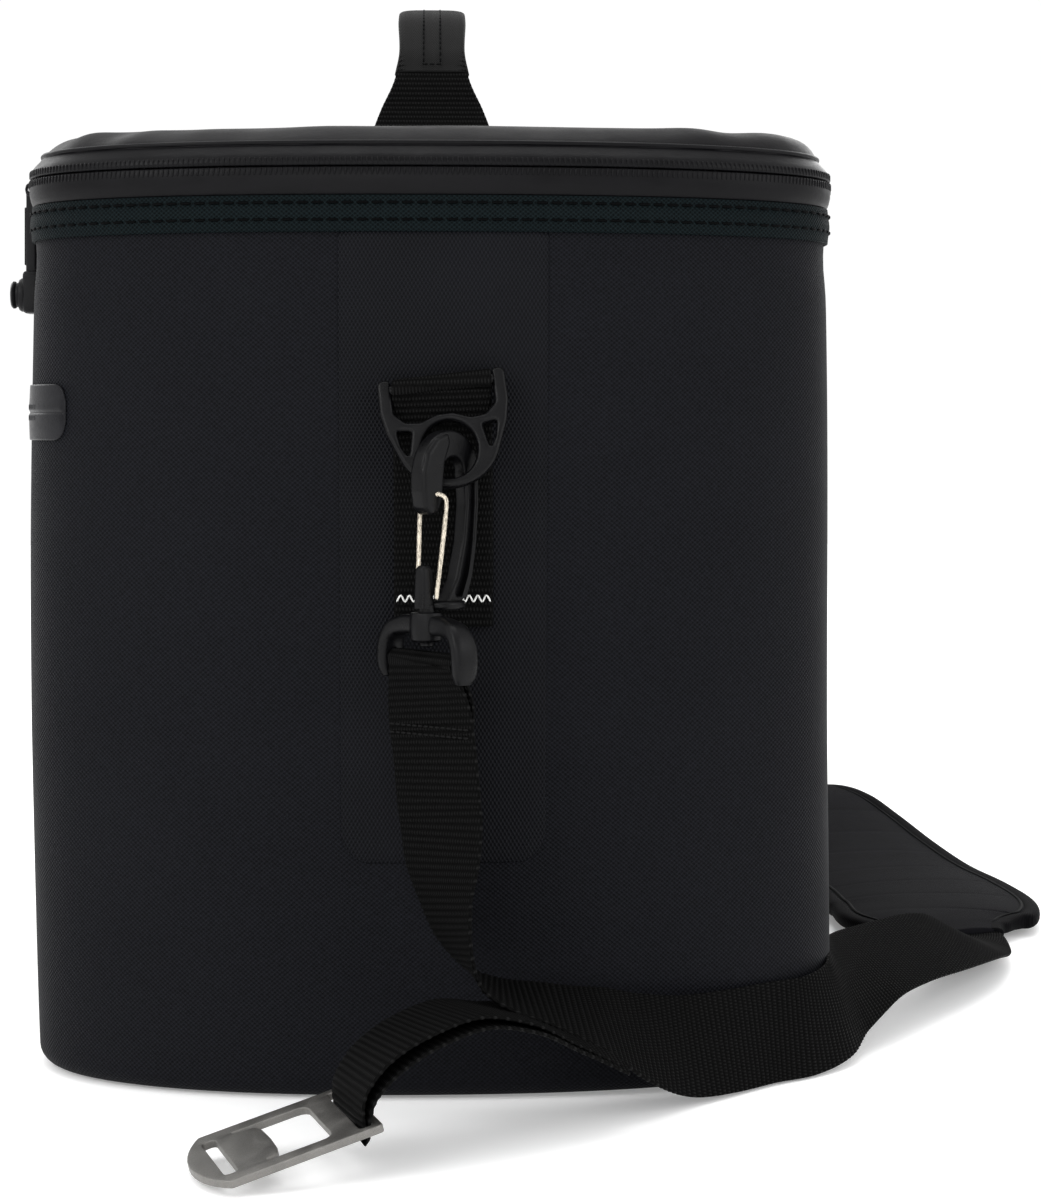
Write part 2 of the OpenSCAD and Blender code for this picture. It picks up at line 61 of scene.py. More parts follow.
def node_box(node):
    """Lowest and highest corners of a CAD node, in millimetres."""
    low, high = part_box(node)
    return np.array(low) / MM, np.array(high) / MM


def node_heights(node):
    """Lowest and highest z of a CAD node, in millimetres."""
    low, high = node_box(node)
    return low[2], high[2]


def joint_place(name):
    """Point and axis of a joint, the point in millimetres."""
    joint = next(j for j in frame["record"]["behaviour"]["joints"] if j["name"] == name)
    return np.array(joint["pos_m"]) / MM, np.array(joint["axis"])


HALF_W, HALF_L = node_box("outer_wall")[1][:2]
STRAIGHT_L = node_box("foam_front")[1][1]
END_DEPTH = HALF_L - STRAIGHT_L
END_POWER = 2.3
TAPE_Z = node_heights("binding_tape")
LOWER_ROW_Z = node_heights("lower_coil")
UPPER_ROW_Z = node_heights("upper_coil")
RIM_LOW = node_heights("lid_rim")[0]
CROWN_Z = node_heights("lid_top")[1]
STRAP_W = 38
STRAP_T = 1.5
RIB_PITCH = 2.4
# The two ends of the bag, and whether a part made at the near end is turned to it
ENDS = (("near", False), ("far", True))

# ---------------------------------------------------------------- camera, light, floor

CAMERA_AT = (0, -1.180, 0.255)
camera = bpy.data.objects.new("camera", bpy.data.cameras.new("camera"))
camera.data.lens = 76
camera.data.sensor_width = 36
camera.data.shift_y = -0.15
camera.location = CAMERA_AT
camera.rotation_euler = (math.radians(90), 0, math.radians(-2.0))
bpy.context.collection.objects.link(camera)
bpy.context.scene.camera = camera


def area_light(name, place, aim, size, power):
    """Square soft box at place, turned towards aim, in metres and watts."""
    light = bpy.data.lights.new(name, "AREA")
    light.shape = "SQUARE"
    light.size = size
    light.energy = power
    lamp = bpy.data.objects.new(name, light)
    lamp.location = place
    lamp.rotation_euler = (Vector(aim) - Vector(place)).to_track_quat("-Z", "Y").to_euler()
    bpy.context.collection.objects.link(lamp)


area_light("key_left", (-1.7, -1.6, 1.5), (0, -0.1, 0.2), 1.4, 26)
area_light("fill_right", (1.9, -1.1, 1.1), (0, 0, 0.2), 1.3, 13)
area_light("top", (0, 0.1, 2.2), (0, 0, 0.3), 1.6, 17)
area_light("front_low", (-0.3, -2.4, 0.7), (0, -0.2, 0.15), 1.0, 7)
area_light("back_right", (1.2, 1.9, 1.3), (0, 0, 0.2), 1.2, 12)
area_light("back_left", (-1.5, 1.6, 1.3), (0, 0, 0.2), 1.2, 11)

world = bpy.data.worlds.new("world")
world.use_nodes = True
world.node_tree.nodes["Background"].inputs["Color"].default_value = (1, 1, 1, 1)
world.node_tree.nodes["Background"].inputs["Strength"].default_value = 1.02
bpy.context.scene.world = world
bpy.context.scene.view_settings.view_transform = "Standard"

# ---------------------------------------------------------------- materials


class Field:
    """A value in a node tree. Arithmetic on it adds Math nodes."""

    def __init__(self, tree, socket):
        self.tree = tree
        self.socket = socket

    def math(self, operation, *others):
        node = self.tree.nodes.new("ShaderNodeMath")
        node.operation = operation
        for slot, value in zip(node.inputs, (self,) + others):
            if isinstance(value, Field):
                self.tree.links.new(value.socket, slot)
            else:
                slot.default_value = value
        return Field(self.tree, node.outputs[0])

    def __add__(self, other):
        return self.math("ADD", other)

    def __sub__(self, other):
        return self.math("SUBTRACT", other)

    def __mul__(self, other):
        return self.math("MULTIPLY", other)

    def wave(self, pitch, shift=0.0):
        """Cosine of the given pitch, from 0 to 1, with its crest where the value is a whole pitch."""
        angle = self * (2 * math.pi / pitch) + shift
        return angle.math("COSINE") * 0.5 + 0.5

    def clamp(self, low, high):
        """The value stretched so that low gives 0 and high gives 1, and held between them."""
        node = self.tree.nodes.new("ShaderNodeMapRange")
        self.tree.links.new(self.socket, node.inputs["Value"])
        node.inputs["From Min"].default_value = low
        node.inputs["From Max"].default_value = high
        return Field(self.tree, node.outputs[0])


class Paint:
    """One procedural material. Its patterns are measured in millimetres."""

    def __init__(self, name, colour, roughness, **settings):
        self.mat = bpy.data.materials.new(name)
        self.mat.use_nodes = True
        self.tree = self.mat.node_tree
        self.shader = self.tree.nodes["Principled BSDF"]
        self.colour = colour
        self.roughness = roughness
        self.shader.inputs["Base Color"].default_value = (*colour, 1)
        self.shader.inputs["Roughness"].default_value = roughness
        for key, value in settings.items():
            self.shader.inputs[key.replace("_", " ")].default_value = value
        self.last_normal = None

    def flat(self):
        """Position along and across the cloth, from the mesh's own UV map."""
        node = self.tree.nodes.new("ShaderNodeUVMap")
        node.uv_map = "flat"
        split = self.tree.nodes.new("ShaderNodeSeparateXYZ")
        self.tree.links.new(node.outputs[0], split.inputs[0])
        return Field(self.tree, split.outputs[0]), Field(self.tree, split.outputs[1])

    def place(self):
        node = self.tree.nodes.new("ShaderNodeTexCoord")
        return node.outputs["Object"]

    def axes(self):
        """Object coordinates in millimetres."""
        split = self.tree.nodes.new("ShaderNodeSeparateXYZ")
        self.tree.links.new(self.place(), split.inputs[0])
        return [Field(self.tree, s) * 1000 for s in split.outputs]

    def noise(self, size, detail=3.0, stretch=(1, 1, 1)):
        """Noise of about 0 to 1 whose blotches are size millimetres across."""
        scale = self.tree.nodes.new("ShaderNodeVectorMath")
        scale.operation = "MULTIPLY"
        scale.inputs[1].default_value = [s / (size * MM) for s in stretch]
        self.tree.links.new(self.place(), scale.inputs[0])
        node = self.tree.nodes.new("ShaderNodeTexNoise")
        node.inputs["Scale"].default_value = 1
        node.inputs["Detail"].default_value = detail
        self.tree.links.new(scale.outputs[0], node.inputs["Vector"])
        return Field(self.tree, node.outputs[0]).clamp(0.3, 0.7)

    def bump(self, height, depth, strength=1.0):
        """Relief of the given depth in millimetres. Later reliefs add to earlier ones."""
        node = self.tree.nodes.new("ShaderNodeBump")
        node.inputs["Strength"].default_value = strength
        node.inputs["Distance"].default_value = depth * MM
        self.tree.links.new(height.socket, node.inputs["Height"])
        if self.last_normal:
            self.tree.links.new(self.last_normal, node.inputs["Normal"])
        self.last_normal = node.outputs[0]
        self.tree.links.new(self.last_normal, self.shader.inputs["Normal"])
        return self

    def tint(self, field, low=0.7, high=1.3, warm=(1, 1, 1)):
        """Colour that runs from low to high times the paint's own as field runs from 0 to 1."""
        node = self.tree.nodes.new("ShaderNodeMix")
        node.data_type = "RGBA"
        node.inputs["A"].default_value = (*[c * low for c in self.colour], 1)
        node.inputs["B"].default_value = (*[c * high * w for c, w in zip(self.colour, warm)], 1)
        self.tree.links.new(field.socket, node.inputs["Factor"])
        self.tree.links.new(node.outputs["Result"], self.shader.inputs["Base Color"])
        return self

    def polish(self, field, low, high):
        """Roughness from low to high as field runs from 0 to 1."""
        value = field * (high - low) + low
        self.tree.links.new(value.socket, self.shader.inputs["Roughness"])
        return self


def weave(paint, pitch_u, pitch_v, slant=0.0):
    """Plain weave: threads go over and under each other in a checkerboard. slant makes a twill."""
    u, v = paint.flat()
    over = u.wave(2 * pitch_u) * v.wave(2 * pitch_v)
    under = u.wave(2 * pitch_u, math.pi) * v.wave(2 * pitch_v, math.pi)
    if slant:
        return (u + v * slant).wave(pitch_u) * 0.7 + v.wave(pitch_v) * 0.3
    return over + under


def wall_paint():
    paint = Paint("wall_fabric", (0.0033, 0.0035, 0.0048), 0.64, Specular_IOR_Level=0.06)
    threads = weave(paint, 1.0, 0.85)
    patches = paint.noise(38, 4)
    grit = paint.noise(1.6, 2)
    paint.bump(threads, 0.3, 0.9).bump(grit, 0.12, 0.4)
    paint.tint(threads * 0.72 + patches * 0.06 + grit * 0.22, 0.2, 2.1)
    return paint.polish(patches * 0.15 + threads * 0.85, 0.74, 0.5).mat


def base_paint():
    paint = Paint("base_fabric", (0.004, 0.004, 0.005), 0.6, Specular_IOR_Level=0.06)
    threads = weave(paint, 0.8, 0.8)
    scuffs = paint.noise(9, 6)
    paint.bump(threads, 0.15).tint(threads * 0.5 + scuffs * 0.5, 0.6, 1.6)
    return paint.polish(scuffs, 0.75, 0.5).mat


def patch_paint():
    """Embossed film: staggered rows of small round dimples."""
    paint = Paint("patch_fabric", (0.0033, 0.0035, 0.0047), 0.6, Specular_IOR_Level=0.065)
    u, v = paint.flat()
    pitch = 1.5
    dots = (u.wave(pitch) * v.wave(pitch * 1.73)) + (u.wave(pitch, math.pi) * v.wave(pitch * 1.73, math.pi))
    grit = paint.noise(2.0, 2)
    patches = paint.noise(30, 3)
    paint.bump(dots, 0.38, 1.0).bump(grit, 0.1, 0.3)
    paint.tint(dots * 0.85 + patches * 0.15, 0.25, 2.0)
    return paint.polish(dots, 0.7, 0.45).mat


def binding_paint():
    """Twill tape, a bluish black, with a fine slanting rib."""
    paint = Paint("binding", (0.0018, 0.0036, 0.0042), 0.62, Specular_IOR_Level=0.05)
    rib = weave(paint, 0.95, 0.85)
    fuzz = paint.noise(0.9, 3)
    paint.bump(rib, 0.4, 1.0).bump(fuzz, 0.1, 0.4)
    paint.tint(rib * 0.75 + fuzz * 0.25, 0.1, 2.6)
    return paint.polish(rib, 0.8, 0.5).mat


def film_paint(name, colour, roughness):
    """Smooth coated film with faint creases and a soft gloss."""
    paint = Paint(name, colour, roughness, Specular_IOR_Level=0.09)
    grain = paint.noise(0.7, 2)
    creases = paint.noise(16, 5, (1, 1, 2.4))
    paint.bump(creases, 0.4, 0.35).bump(grain, 0.04, 0.5)
    paint.tint(creases, 0.85, 1.2)
    return paint.polish(creases * 0.6 + grain * 0.4, roughness - 0.08, roughness + 0.12).mat


def webbing_paint():
    """Ribbed webbing: ribs are in the mesh, and the beads of the yarn along each rib are here."""
    paint = Paint("webbing", (0.003, 0.003, 0.003), 0.62, Specular_IOR_Level=0.05)
    along, across = paint.flat()
    odd = (along * (1 / RIB_PITCH) + 0.5).math("FLOOR") * math.pi
    beads = (across * (2 * math.pi / 1.25) + odd).math("COSINE") * 0.5 + 0.5
    ribs = along.wave(RIB_PITCH)
    fuzz = paint.noise(0.8, 3)
    paint.bump(beads * ribs, 0.45, 1.0).bump(fuzz, 0.08, 0.4)
    paint.tint(beads * ribs * 0.85 + fuzz * 0.15, 0.05, 2.6)
    return paint.polish(beads * ribs, 0.8, 0.46).mat


def grip_paint():
    """Fine herringbone cloth round the grip."""
    paint = Paint("grip_fabric", (0.0034, 0.0034, 0.0034), 0.62, Specular_IOR_Level=0.1)
    along, across = paint.flat()
    zigzag = (across * (2 * math.pi / 8)).math("COSINE").math("ARCCOSINE") * (8 / (2 * math.pi))
    rib = (along + zigzag * 1.4).wave(1.1)
    fuzz = paint.noise(0.8, 3)
    paint.bump(rib, 0.16, 0.9).tint(rib * 0.7 + fuzz * 0.3, 0.5, 1.8)
    return paint.polish(rib, 0.75, 0.5).mat


def pad_paint(name, colour):
    paint = Paint(name, colour, 0.75, Specular_IOR_Level=0.015)
    along, across = paint.flat()
    twill = (along + across * 0.9).wave(1.35)
    channels = along.wave(31)
    soft = paint.noise(14, 4)
    paint.bump(channels, 0.2, 0.4).bump(twill, 0.2, 0.9)
    paint.tint(twill * 0.5 + soft * 0.3 + channels * 0.2, 0.6, 1.5)
    return paint.polish(twill, 0.78, 0.55).mat


def moulded_paint(name="hardware_plastic", colour=(0.002, 0.002, 0.0024), roughness=0.33):
    """Moulded nylon with a fine spark-eroded grain."""
    paint = Paint(name, colour, roughness, Specular_IOR_Level=0.13)
    grain = paint.noise(0.55, 2)
    flow = paint.noise(7, 4)
    paint.bump(grain, 0.05, 0.6).bump(flow, 0.12, 0.25)
    paint.tint(flow * 0.6 + grain * 0.4, 0.75, 1.35)
    return paint.polish(flow * 0.5 + grain * 0.5, roughness - 0.1, roughness + 0.12).mat


def steel_paint(name, colour, roughness, stretch):
    """Brushed metal: fine scratches that run one way."""
    paint = Paint(name, colour, roughness, Metallic=1.0)
    scratches = paint.noise(0.35, 2, stretch)
    smears = paint.noise(9, 4)
    paint.bump(scratches, 0.1, 0.8)
    paint.tint(scratches * 0.8 + smears * 0.2, 0.35, 1.6)
    return paint.polish(scratches * 0.5 + smears * 0.5, roughness - 0.1, roughness + 0.15).mat


def thread_paint(name, colour):
    paint = Paint(name, colour, 0.65, Specular_IOR_Level=0.03)
    twist = paint.noise(0.4, 2)
    paint.bump(twist, 0.08, 0.6).tint(twist, 0.6, 1.3)
    return paint.polish(twist, 0.7, 0.5).mat


def foam_paint():
    paint = Paint("foam", (0.42, 0.42, 0.4), 0.85)
    cells = paint.noise(0.9, 4)
    paint.bump(cells, 0.25, 0.8).tint(cells, 0.75, 1.1)
    return paint.polish(cells, 0.95, 0.75).mat


def liner_paint():
    """Smooth food-grade liner film with faint creases."""
    paint = Paint("liner", (0.27, 0.29, 0.32), 0.38, Coat_Weight=0.2, Coat_Roughness=0.3)
    creases = paint.noise(24, 6)
    grain = paint.noise(0.9, 2)
    paint.bump(creases, 0.8, 0.4).bump(grain, 0.05, 0.4).tint(creases, 0.85, 1.1)
    return paint.polish(creases, 0.3, 0.5).mat


def floor_paint():
    paint = Paint("floor", (0.9, 0.9, 0.9), 0.7, Emission_Color=(1, 1, 1, 1), Emission_Strength=0.22)
    soft = paint.noise(300, 3)
    return paint.tint(soft, 0.985, 1.01).mat


PAINT = {
    "wall": wall_paint(),
    "base": base_paint(),
    "patch": patch_paint(),
    "binding": binding_paint(),
    "film": film_paint("coated_tape", (0.003, 0.0029, 0.0035), 0.36),
    "lid": film_paint("lid_fabric", (0.0036, 0.0034, 0.004), 0.42),
    "pocket_film": film_paint("pocket_film", (0.009, 0.009, 0.0105), 0.3),
    "webbing": webbing_paint(),
    "grip": grip_paint(),
    "pad": pad_paint("pad_fabric", (0.0042, 0.0042, 0.0052)),
    "pad_edge": pad_paint("pad_binding", (0.0026, 0.0026, 0.003)),
    "plastic": moulded_paint(),
    "puller": moulded_paint("puller_plastic", (0.0036, 0.0036, 0.0042), 0.42),
    "slider": moulded_paint("slider_metal", (0.0036, 0.0036, 0.0042), 0.3),
    "pin": steel_paint("pin_steel", (0.35, 0.35, 0.35), 0.35, (1, 1, 8)),
    "wire": steel_paint("wire", (0.52, 0.47, 0.39), 0.25, (1, 1, 0.2)),
    "opener": steel_paint("opener_steel", (0.235, 0.228, 0.216), 0.42, (6, 0.25, 6)),
    "black_thread": thread_paint("black_thread", (0.0008, 0.001, 0.0012)),
    "dark_thread": thread_paint("dark_thread", (0.009, 0.009, 0.009)),
    "white_thread": thread_paint("white_thread", (0.75, 0.75, 0.73)),
    "foam": foam_paint(),
    "liner": liner_paint(),
    "board": moulded_paint("board", (0.03, 0.03, 0.03), 0.6),
}

# ---------------------------------------------------------------- mesh tools


def finish_piece(piece, paint, body, slot, *nodes):
    """Give a piece its material and body, and hide the CAD nodes it stands for. The slot argument is not used."""
    piece.data.materials.clear()
    piece.data.materials.append(PAINT[paint])
    if body:
        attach(piece, body)
    if nodes:
        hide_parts(*nodes)
    return piece


def link(name, mesh, smooth_angle=None):
    piece = bpy.data.objects.new(name, mesh)
    bpy.context.collection.objects.link(piece)
    mesh.shade_smooth()
    if smooth_angle:
        mesh.set_sharp_from_angle(angle=math.radians(smooth_angle))
    return piece


def grid(name, points, u, v, close_rows=False, close_columns=True, caps=False):
    """Mesh from rows and columns of points in millimetres. u is given per row and v per column, or both
    as full tables, and they go to the UV map named flat. A closed direction has one more value than points."""
    points = np.asarray(points, float)
    rows, columns = points.shape[:2]
    last_row = rows if close_rows else rows - 1
    last_column = columns if close_columns else columns - 1
    i, j = np.meshgrid(np.arange(last_row), np.arange(last_column), indexing="ij")
    i, j = i.ravel(), j.ravel()
    i2, j2 = i + 1, j + 1
    faces = np.stack([
        i * columns + j,
        i * columns + j2 % columns,
        (i2 % rows) * columns + j2 % columns,
        (i2 % rows) * columns + j,
    ], axis=1)
    u, v = np.asarray(u, float), np.asarray(v, float)
    if u.ndim == 1:
        u, v = np.meshgrid(u, v, indexing="ij")
    corners = [(i, j), (i, j2), (i2, j2), (i2, j)]
    uv = np.stack([np.stack([u[a, b], v[a, b]], axis=1) for a, b in corners], axis=1).reshape(-1, 2)
    polygons = faces.tolist()
    if caps:
        first = list(range(columns))
        polygons.append(first[::-1])
        polygons.append([(rows - 1) * columns + k for k in range(columns)])
        uv = np.concatenate([uv, np.zeros((2 * columns, 2))])
    mesh = bpy.data.meshes.new(name)
    mesh.from_pydata((points.reshape(-1, 3) * MM).tolist(), [], polygons)
    layer = mesh.uv_layers.new(name="flat")
    layer.data.foreach_set("uv", uv.astype(np.float32).ravel())
    mesh.update()
    return link(name, mesh)


def outward(piece):
    """Turn all faces outwards."""
    work = bmesh.new()
    work.from_mesh(piece.data)
    bmesh.ops.recalc_face_normals(work, faces=work.faces)
    work.to_mesh(piece.data)
    work.free()
    return piece


def spline(points, step):
    """Catmull-Rom curve through the rows of points, resampled every step millimetres along its first
    three columns. Further columns, such as a width, go along with them."""
    p = np.asarray(points, float)
    p = np.concatenate([[2 * p[0] - p[1]], p, [2 * p[-1] - p[-2]]])
    t = np.linspace(0, 1, 24, endpoint=False)[:, None]
    dense = []
    for a, b, c, d in zip(p[:-3], p[1:-2], p[2:-1], p[3:]):
        dense.append(0.5 * (2 * b + (c - a) * t + (2 * a - 5 * b + 4 * c - d) * t ** 2
                            + (3 * b - a - 3 * c + d) * t ** 3))
    dense = np.concatenate(dense + [p[-2:-1]])
    run = np.concatenate([[0], np.cumsum(np.linalg.norm(np.diff(dense[:, :3], axis=0), axis=1))])
    count = max(2, int(round(run[-1] / step)) + 1)
    at = np.linspace(0, run[-1], count)
    return np.stack([np.interp(at, run, dense[:, k]) for k in range(dense.shape[1])], axis=1), at


def unit_rows(a):
    return a / np.linalg.norm(a, axis=1, keepdims=True)


def frames(centre, across):
    """Direction along, direction across and normal at each point of a band."""
    along = unit_rows(np.gradient(centre, axis=0))
    normal = unit_rows(np.cross(along, across))
    return along, unit_rows(np.cross(normal, along)), normal


def swept(route, step):
    """Path, run, and directions along, across and off a band, every step along its route."""
    path, run = spline(np.asarray(route, float), step)
    return path, run, *frames(path[:, :3], path[:, 3:6])


def rounded_section(count, power):
    """Closed outline of half size 1, from a circle at power 2 towards a rectangle."""
    t = np.linspace(0, 2 * math.pi, count, endpoint=False)
    c, s = np.cos(t), np.sin(t)
    return np.sign(c) * np.abs(c) ** (2 / power), np.sign(s) * np.abs(s) ** (2 / power)


def band(name, stations, width=None, thick=None, rib=0.0, step=0.6, power=7.0, count=20, edge=0.0):
    """Webbing along stations of (x, y, z, across x, y, z[, width, thick]). rib is the height of the
    cross ribs, and edge the extra thickness of the woven edges."""
    stations = np.asarray(stations, float)
    if stations.shape[1] == 6:
        sizes = np.tile([width, thick], (len(stations), 1))
        stations = np.concatenate([stations, sizes], axis=1)
    path, run, _, across, normal = swept(stations, step)
    x, y = rounded_section(count, power)
    half_t = path[:, 7] / 2 + rib * (0.5 + 0.5 * np.cos(2 * math.pi * run / RIB_PITCH)) - rib / 2
    half_t = half_t[:, None] * (1 + edge * np.abs(x) ** 6)
    half_w = path[:, 6:7] / 2
    points = (path[:, None, :3] + across[:, None, :] * (half_w * x)[:, :, None]
              + normal[:, None, :] * (half_t * y)[:, :, None])
    v = np.append(x, x[0])[None, :] * half_w
    u = np.tile(run[:, None], (1, count + 1))
    piece = grid(name, points, u, v, caps=True)
    return outward(piece)


def tube(name, points, radius, step=0.8, sides=10):
    """Round tube along points, with rounded ends."""
    path, run = spline(points, step)
    along = unit_rows(np.gradient(path[:, :3], axis=0))
    guess = np.array([0.3, 0.2, 0.93])
    side = unit_rows(np.cross(along, guess))
    up = np.cross(along, side)
    ease = np.sqrt(np.clip(1 - (1 - np.clip(np.minimum(run, run[-1] - run) / radius, 0, 1)) ** 2, 0.02, 1))
    t = np.linspace(0, 2 * math.pi, sides, endpoint=False)
    ring = side[:, None, :] * np.cos(t)[None, :, None] + up[:, None, :] * np.sin(t)[None, :, None]
    points = path[:, None, :3] + ring * (radius * ease)[:, None, None]
    return outward(grid(name, points, run, np.append(t, 2 * math.pi) * radius, caps=True))


def beads(name, centres, along, out, size, taper=0.55):
    """Many small rounded bars as one mesh. Each has a centre, a direction along and one outwards, and
    size is its length, its width and its height in millimetres."""
    centres, along, out = (np.asarray(a, float) for a in (centres, along, out))
    along = unit_rows(along)
    side = unit_rows(np.cross(out, along))
    up = np.cross(along, side)
    rings = [(-0.5, taper), (-0.3, 1.0), (0.3, 1.0), (0.5, taper)]
    sides = 6
    t = np.linspace(0, 2 * math.pi, sides, endpoint=False)
    shape = np.array([[a * size[0], math.cos(k) * r * size[1] / 2, math.sin(k) * r * size[2] / 2]
                      for a, r in rings for k in t])
    faces = [[i * sides + k, i * sides + (k + 1) % sides, (i + 1) * sides + (k + 1) % sides, (i + 1) * sides + k]
             for i in range(len(rings) - 1) for k in range(sides)]
    faces += [list(range(sides))[::-1], [(len(rings) - 1) * sides + k for k in range(sides)]]
    points = (centres[:, None, :] + along[:, None, :] * shape[None, :, 0:1]
              + side[:, None, :] * shape[None, :, 1:2] + up[:, None, :] * shape[None, :, 2:3])
    count = len(shape)
    all_faces = [[f + n * count for f in face] for n in range(len(centres)) for face in faces]
    mesh = bpy.data.meshes.new(name)
    mesh.from_pydata((points.reshape(-1, 3) * MM).tolist(), [], all_faces)
    mesh.update()
    return outward(link(name, mesh))


def rounded(corners, steps=6):
    """Outline through corners of (x, y, radius), each rounded by an arc."""
    points = []
    count = len(corners)
    for k in range(count):
        x, y, r = corners[k]
        here = np.array([x, y], float)
        before = np.array(corners[k - 1][:2], float) - here
        after = np.array(corners[(k + 1) % count][:2], float) - here
        a, b = before / np.linalg.norm(before), after / np.linalg.norm(after)
        turn = math.acos(np.clip(a @ b, -1, 1))
        if r <= 0 or turn > 3.1:
            points.append(here)
            continue
        reach = min(r / math.tan(turn / 2), 0.49 * np.linalg.norm(before), 0.49 * np.linalg.norm(after))
        start, stop = here + a * reach, here + b * reach
        for t in np.linspace(0, 1, steps):
            points.append((1 - t) ** 2 * start + 2 * t * (1 - t) * here + t * t * stop)
    return np.array(points)


def circle(x, y, r, count=48):
    """Outline of a circle about x and y."""
    return ellipse(x, y, r, r, count)


def ellipse(x, y, half_x, half_y, count):
    """Outline of an ellipse about x and y."""
    t = np.linspace(0, 2 * math.pi, count, endpoint=False)
    return np.stack([x + half_x * np.cos(t), y + half_y * np.sin(t)], axis=1)


def box(x0, y0, x1, y1, radius, steps=6):
    """Rectangle between two corners, with all four corners rounded."""
    return rounded([(x0, y0, radius), (x1, y0, radius), (x1, y1, radius), (x0, y1, radius)], steps)


def plate(name, outlines, thick, bevel, place, steps=3):
    """Flat plate with rounded edges from an outline and its holes, set in the frame by a matrix."""
    curve = bpy.data.curves.new(name, "CURVE")
    curve.dimensions = "2D"
    curve.fill_mode = "BOTH"
    curve.extrude = (thick / 2 - bevel) * MM
    curve.bevel_depth = bevel * MM
    curve.bevel_resolution = steps
    curve.offset = -bevel * MM
    for outline in outlines:
        line = curve.splines.new("POLY")
        line.points.add(len(outline) - 1)
        for point, (x, y) in zip(line.points, outline):
            point.co = (x * MM, y * MM, 0, 1)
        line.use_cyclic_u = True
    holder = bpy.data.objects.new(name + "_curve", curve)
    bpy.context.collection.objects.link(holder)
    bpy.context.view_layer.update()
    mesh = bpy.data.meshes.new_from_object(holder.evaluated_get(bpy.context.evaluated_depsgraph_get()))
    bpy.data.objects.remove(holder)
    work = bmesh.new()
    work.from_mesh(mesh)
    bmesh.ops.remove_doubles(work, verts=work.verts, dist=0.00001)
    bmesh.ops.recalc_face_normals(work, faces=work.faces)
    work.to_mesh(mesh)
    work.free()
    mesh.transform(place)
    return link(name, mesh, 40)


def join(name, *parts):
    """One piece from several meshes."""
    work = bmesh.new()
    for part in parts:
        work.from_mesh(part.data)
    mesh = bpy.data.meshes.new(name)
    work.to_mesh(mesh)
    work.free()
    for part in parts:
        bpy.data.objects.remove(part)
    piece = bpy.data.objects.new(name, mesh)
    bpy.context.collection.objects.link(piece)
    return piece


def turned(name, profile, place, sides=48):
    """Round part from a profile of (radius, height)."""
    t = np.linspace(0, 2 * math.pi, sides, endpoint=False)
    points = np.array([[[r * math.cos(a), r * math.sin(a), h] for a in t] for r, h in profile])
    piece = grid(name, points, np.arange(len(profile)), np.arange(sides + 1), caps=True)
    piece.data.transform(place)
    return outward(piece)


def mm_matrix(origin, rotation):
    """Matrix that turns a mesh already in metres, and moves it to a point in millimetres."""
    return Matrix.Translation(Vector(origin) * MM) @ rotation.to_4x4()


def about(piece, turn):
    """Half a turn about the bag's middle, for a part at the far end."""
    if turn:
        piece.data.transform(Matrix.Rotation(math.pi, 4, "Z"))
    return piece


def creased(piece, degrees):
    """Sharp edges where faces meet at more than an angle."""
    piece.data.set_sharp_from_angle(angle=math.radians(degrees))
    return piece


def plan_uv(rows):
    """UV tables of closed rows, laid out as they lie in the plan."""
    u = np.array([np.append(r[:, 0], r[0, 0]) for r in rows])
    v = np.array([np.append(r[:, 1], r[0, 1]) for r in rows])
    return u, v


# ---------------------------------------------------------------- the bag's plan and its soft surface

AROUND = 900


def plan(count=AROUND):
    """Points and outward normals evenly spaced round the body's plan, from the middle of the back."""
    t = np.linspace(0, math.pi, 2000)
    arc = np.stack([HALF_W * np.sign(np.cos(t)) * np.abs(np.cos(t)) ** (2 / END_POWER),
                    STRAIGHT_L + END_DEPTH * np.sin(t) ** (2 / END_POWER)], axis=1)
    line = np.concatenate([[[HALF_W, 0]], arc, -arc, [[HALF_W, 0]]])
    run = np.concatenate([[0], np.cumsum(np.linalg.norm(np.diff(line, axis=0), axis=1))])
    at = np.linspace(0, run[-1], count, endpoint=False)
    points = np.stack([np.interp(at, run, line[:, 0]), np.interp(at, run, line[:, 1])], axis=1)
    ahead, behind = np.roll(points, -3, axis=0), np.roll(points, 3, axis=0)
    tangent = unit_rows(ahead - behind)
    normal = np.stack([tangent[:, 1], -tangent[:, 0]], axis=1)
    return points, normal, np.append(at, run[-1])


PLAN, PLAN_OUT, PLAN_RUN = plan()
# For each point of the plan, the place on the bag's long middle line that skins close towards
MIDDLE_LINE = np.column_stack([np.zeros(AROUND), np.clip(PLAN[:, 1], -STRAIGHT_L, STRAIGHT_L) * 0.9])


def swell(z, points):
    """How far the soft wall stands out from its plan at a height, and how far it leans to +X."""
    body = np.clip(z / 330, 0, 1)
    bulge = 1.6 * np.sin(math.pi * body) ** 0.8
    near = z / 55 + points[:, 0] / 70
    ripple = 0.45 * np.sin(near + 0.8 * np.sin(points[:, 1] / 60)) * np.sin(math.pi * body)
    top_pull = -0.8 * np.exp(-((z - 318) / 9) ** 2)
    lean = 2.2 * np.clip((140 - z) / 140, 0, 1) ** 1.5
    return bulge + ripple + top_pull, lean


def skin_row(grow, z, soft=True):
    """Ring of points round the body at a height, grown outwards, and following the soft wall."""
    bulge, lean = swell(z, PLAN) if soft else (0.0, 0.0)
    xy = PLAN + PLAN_OUT * (grow + np.asarray(bulge) * np.ones(AROUND))[:, None]
    xy[:, 0] += lean
    return np.column_stack([xy, np.full(AROUND, float(z))])


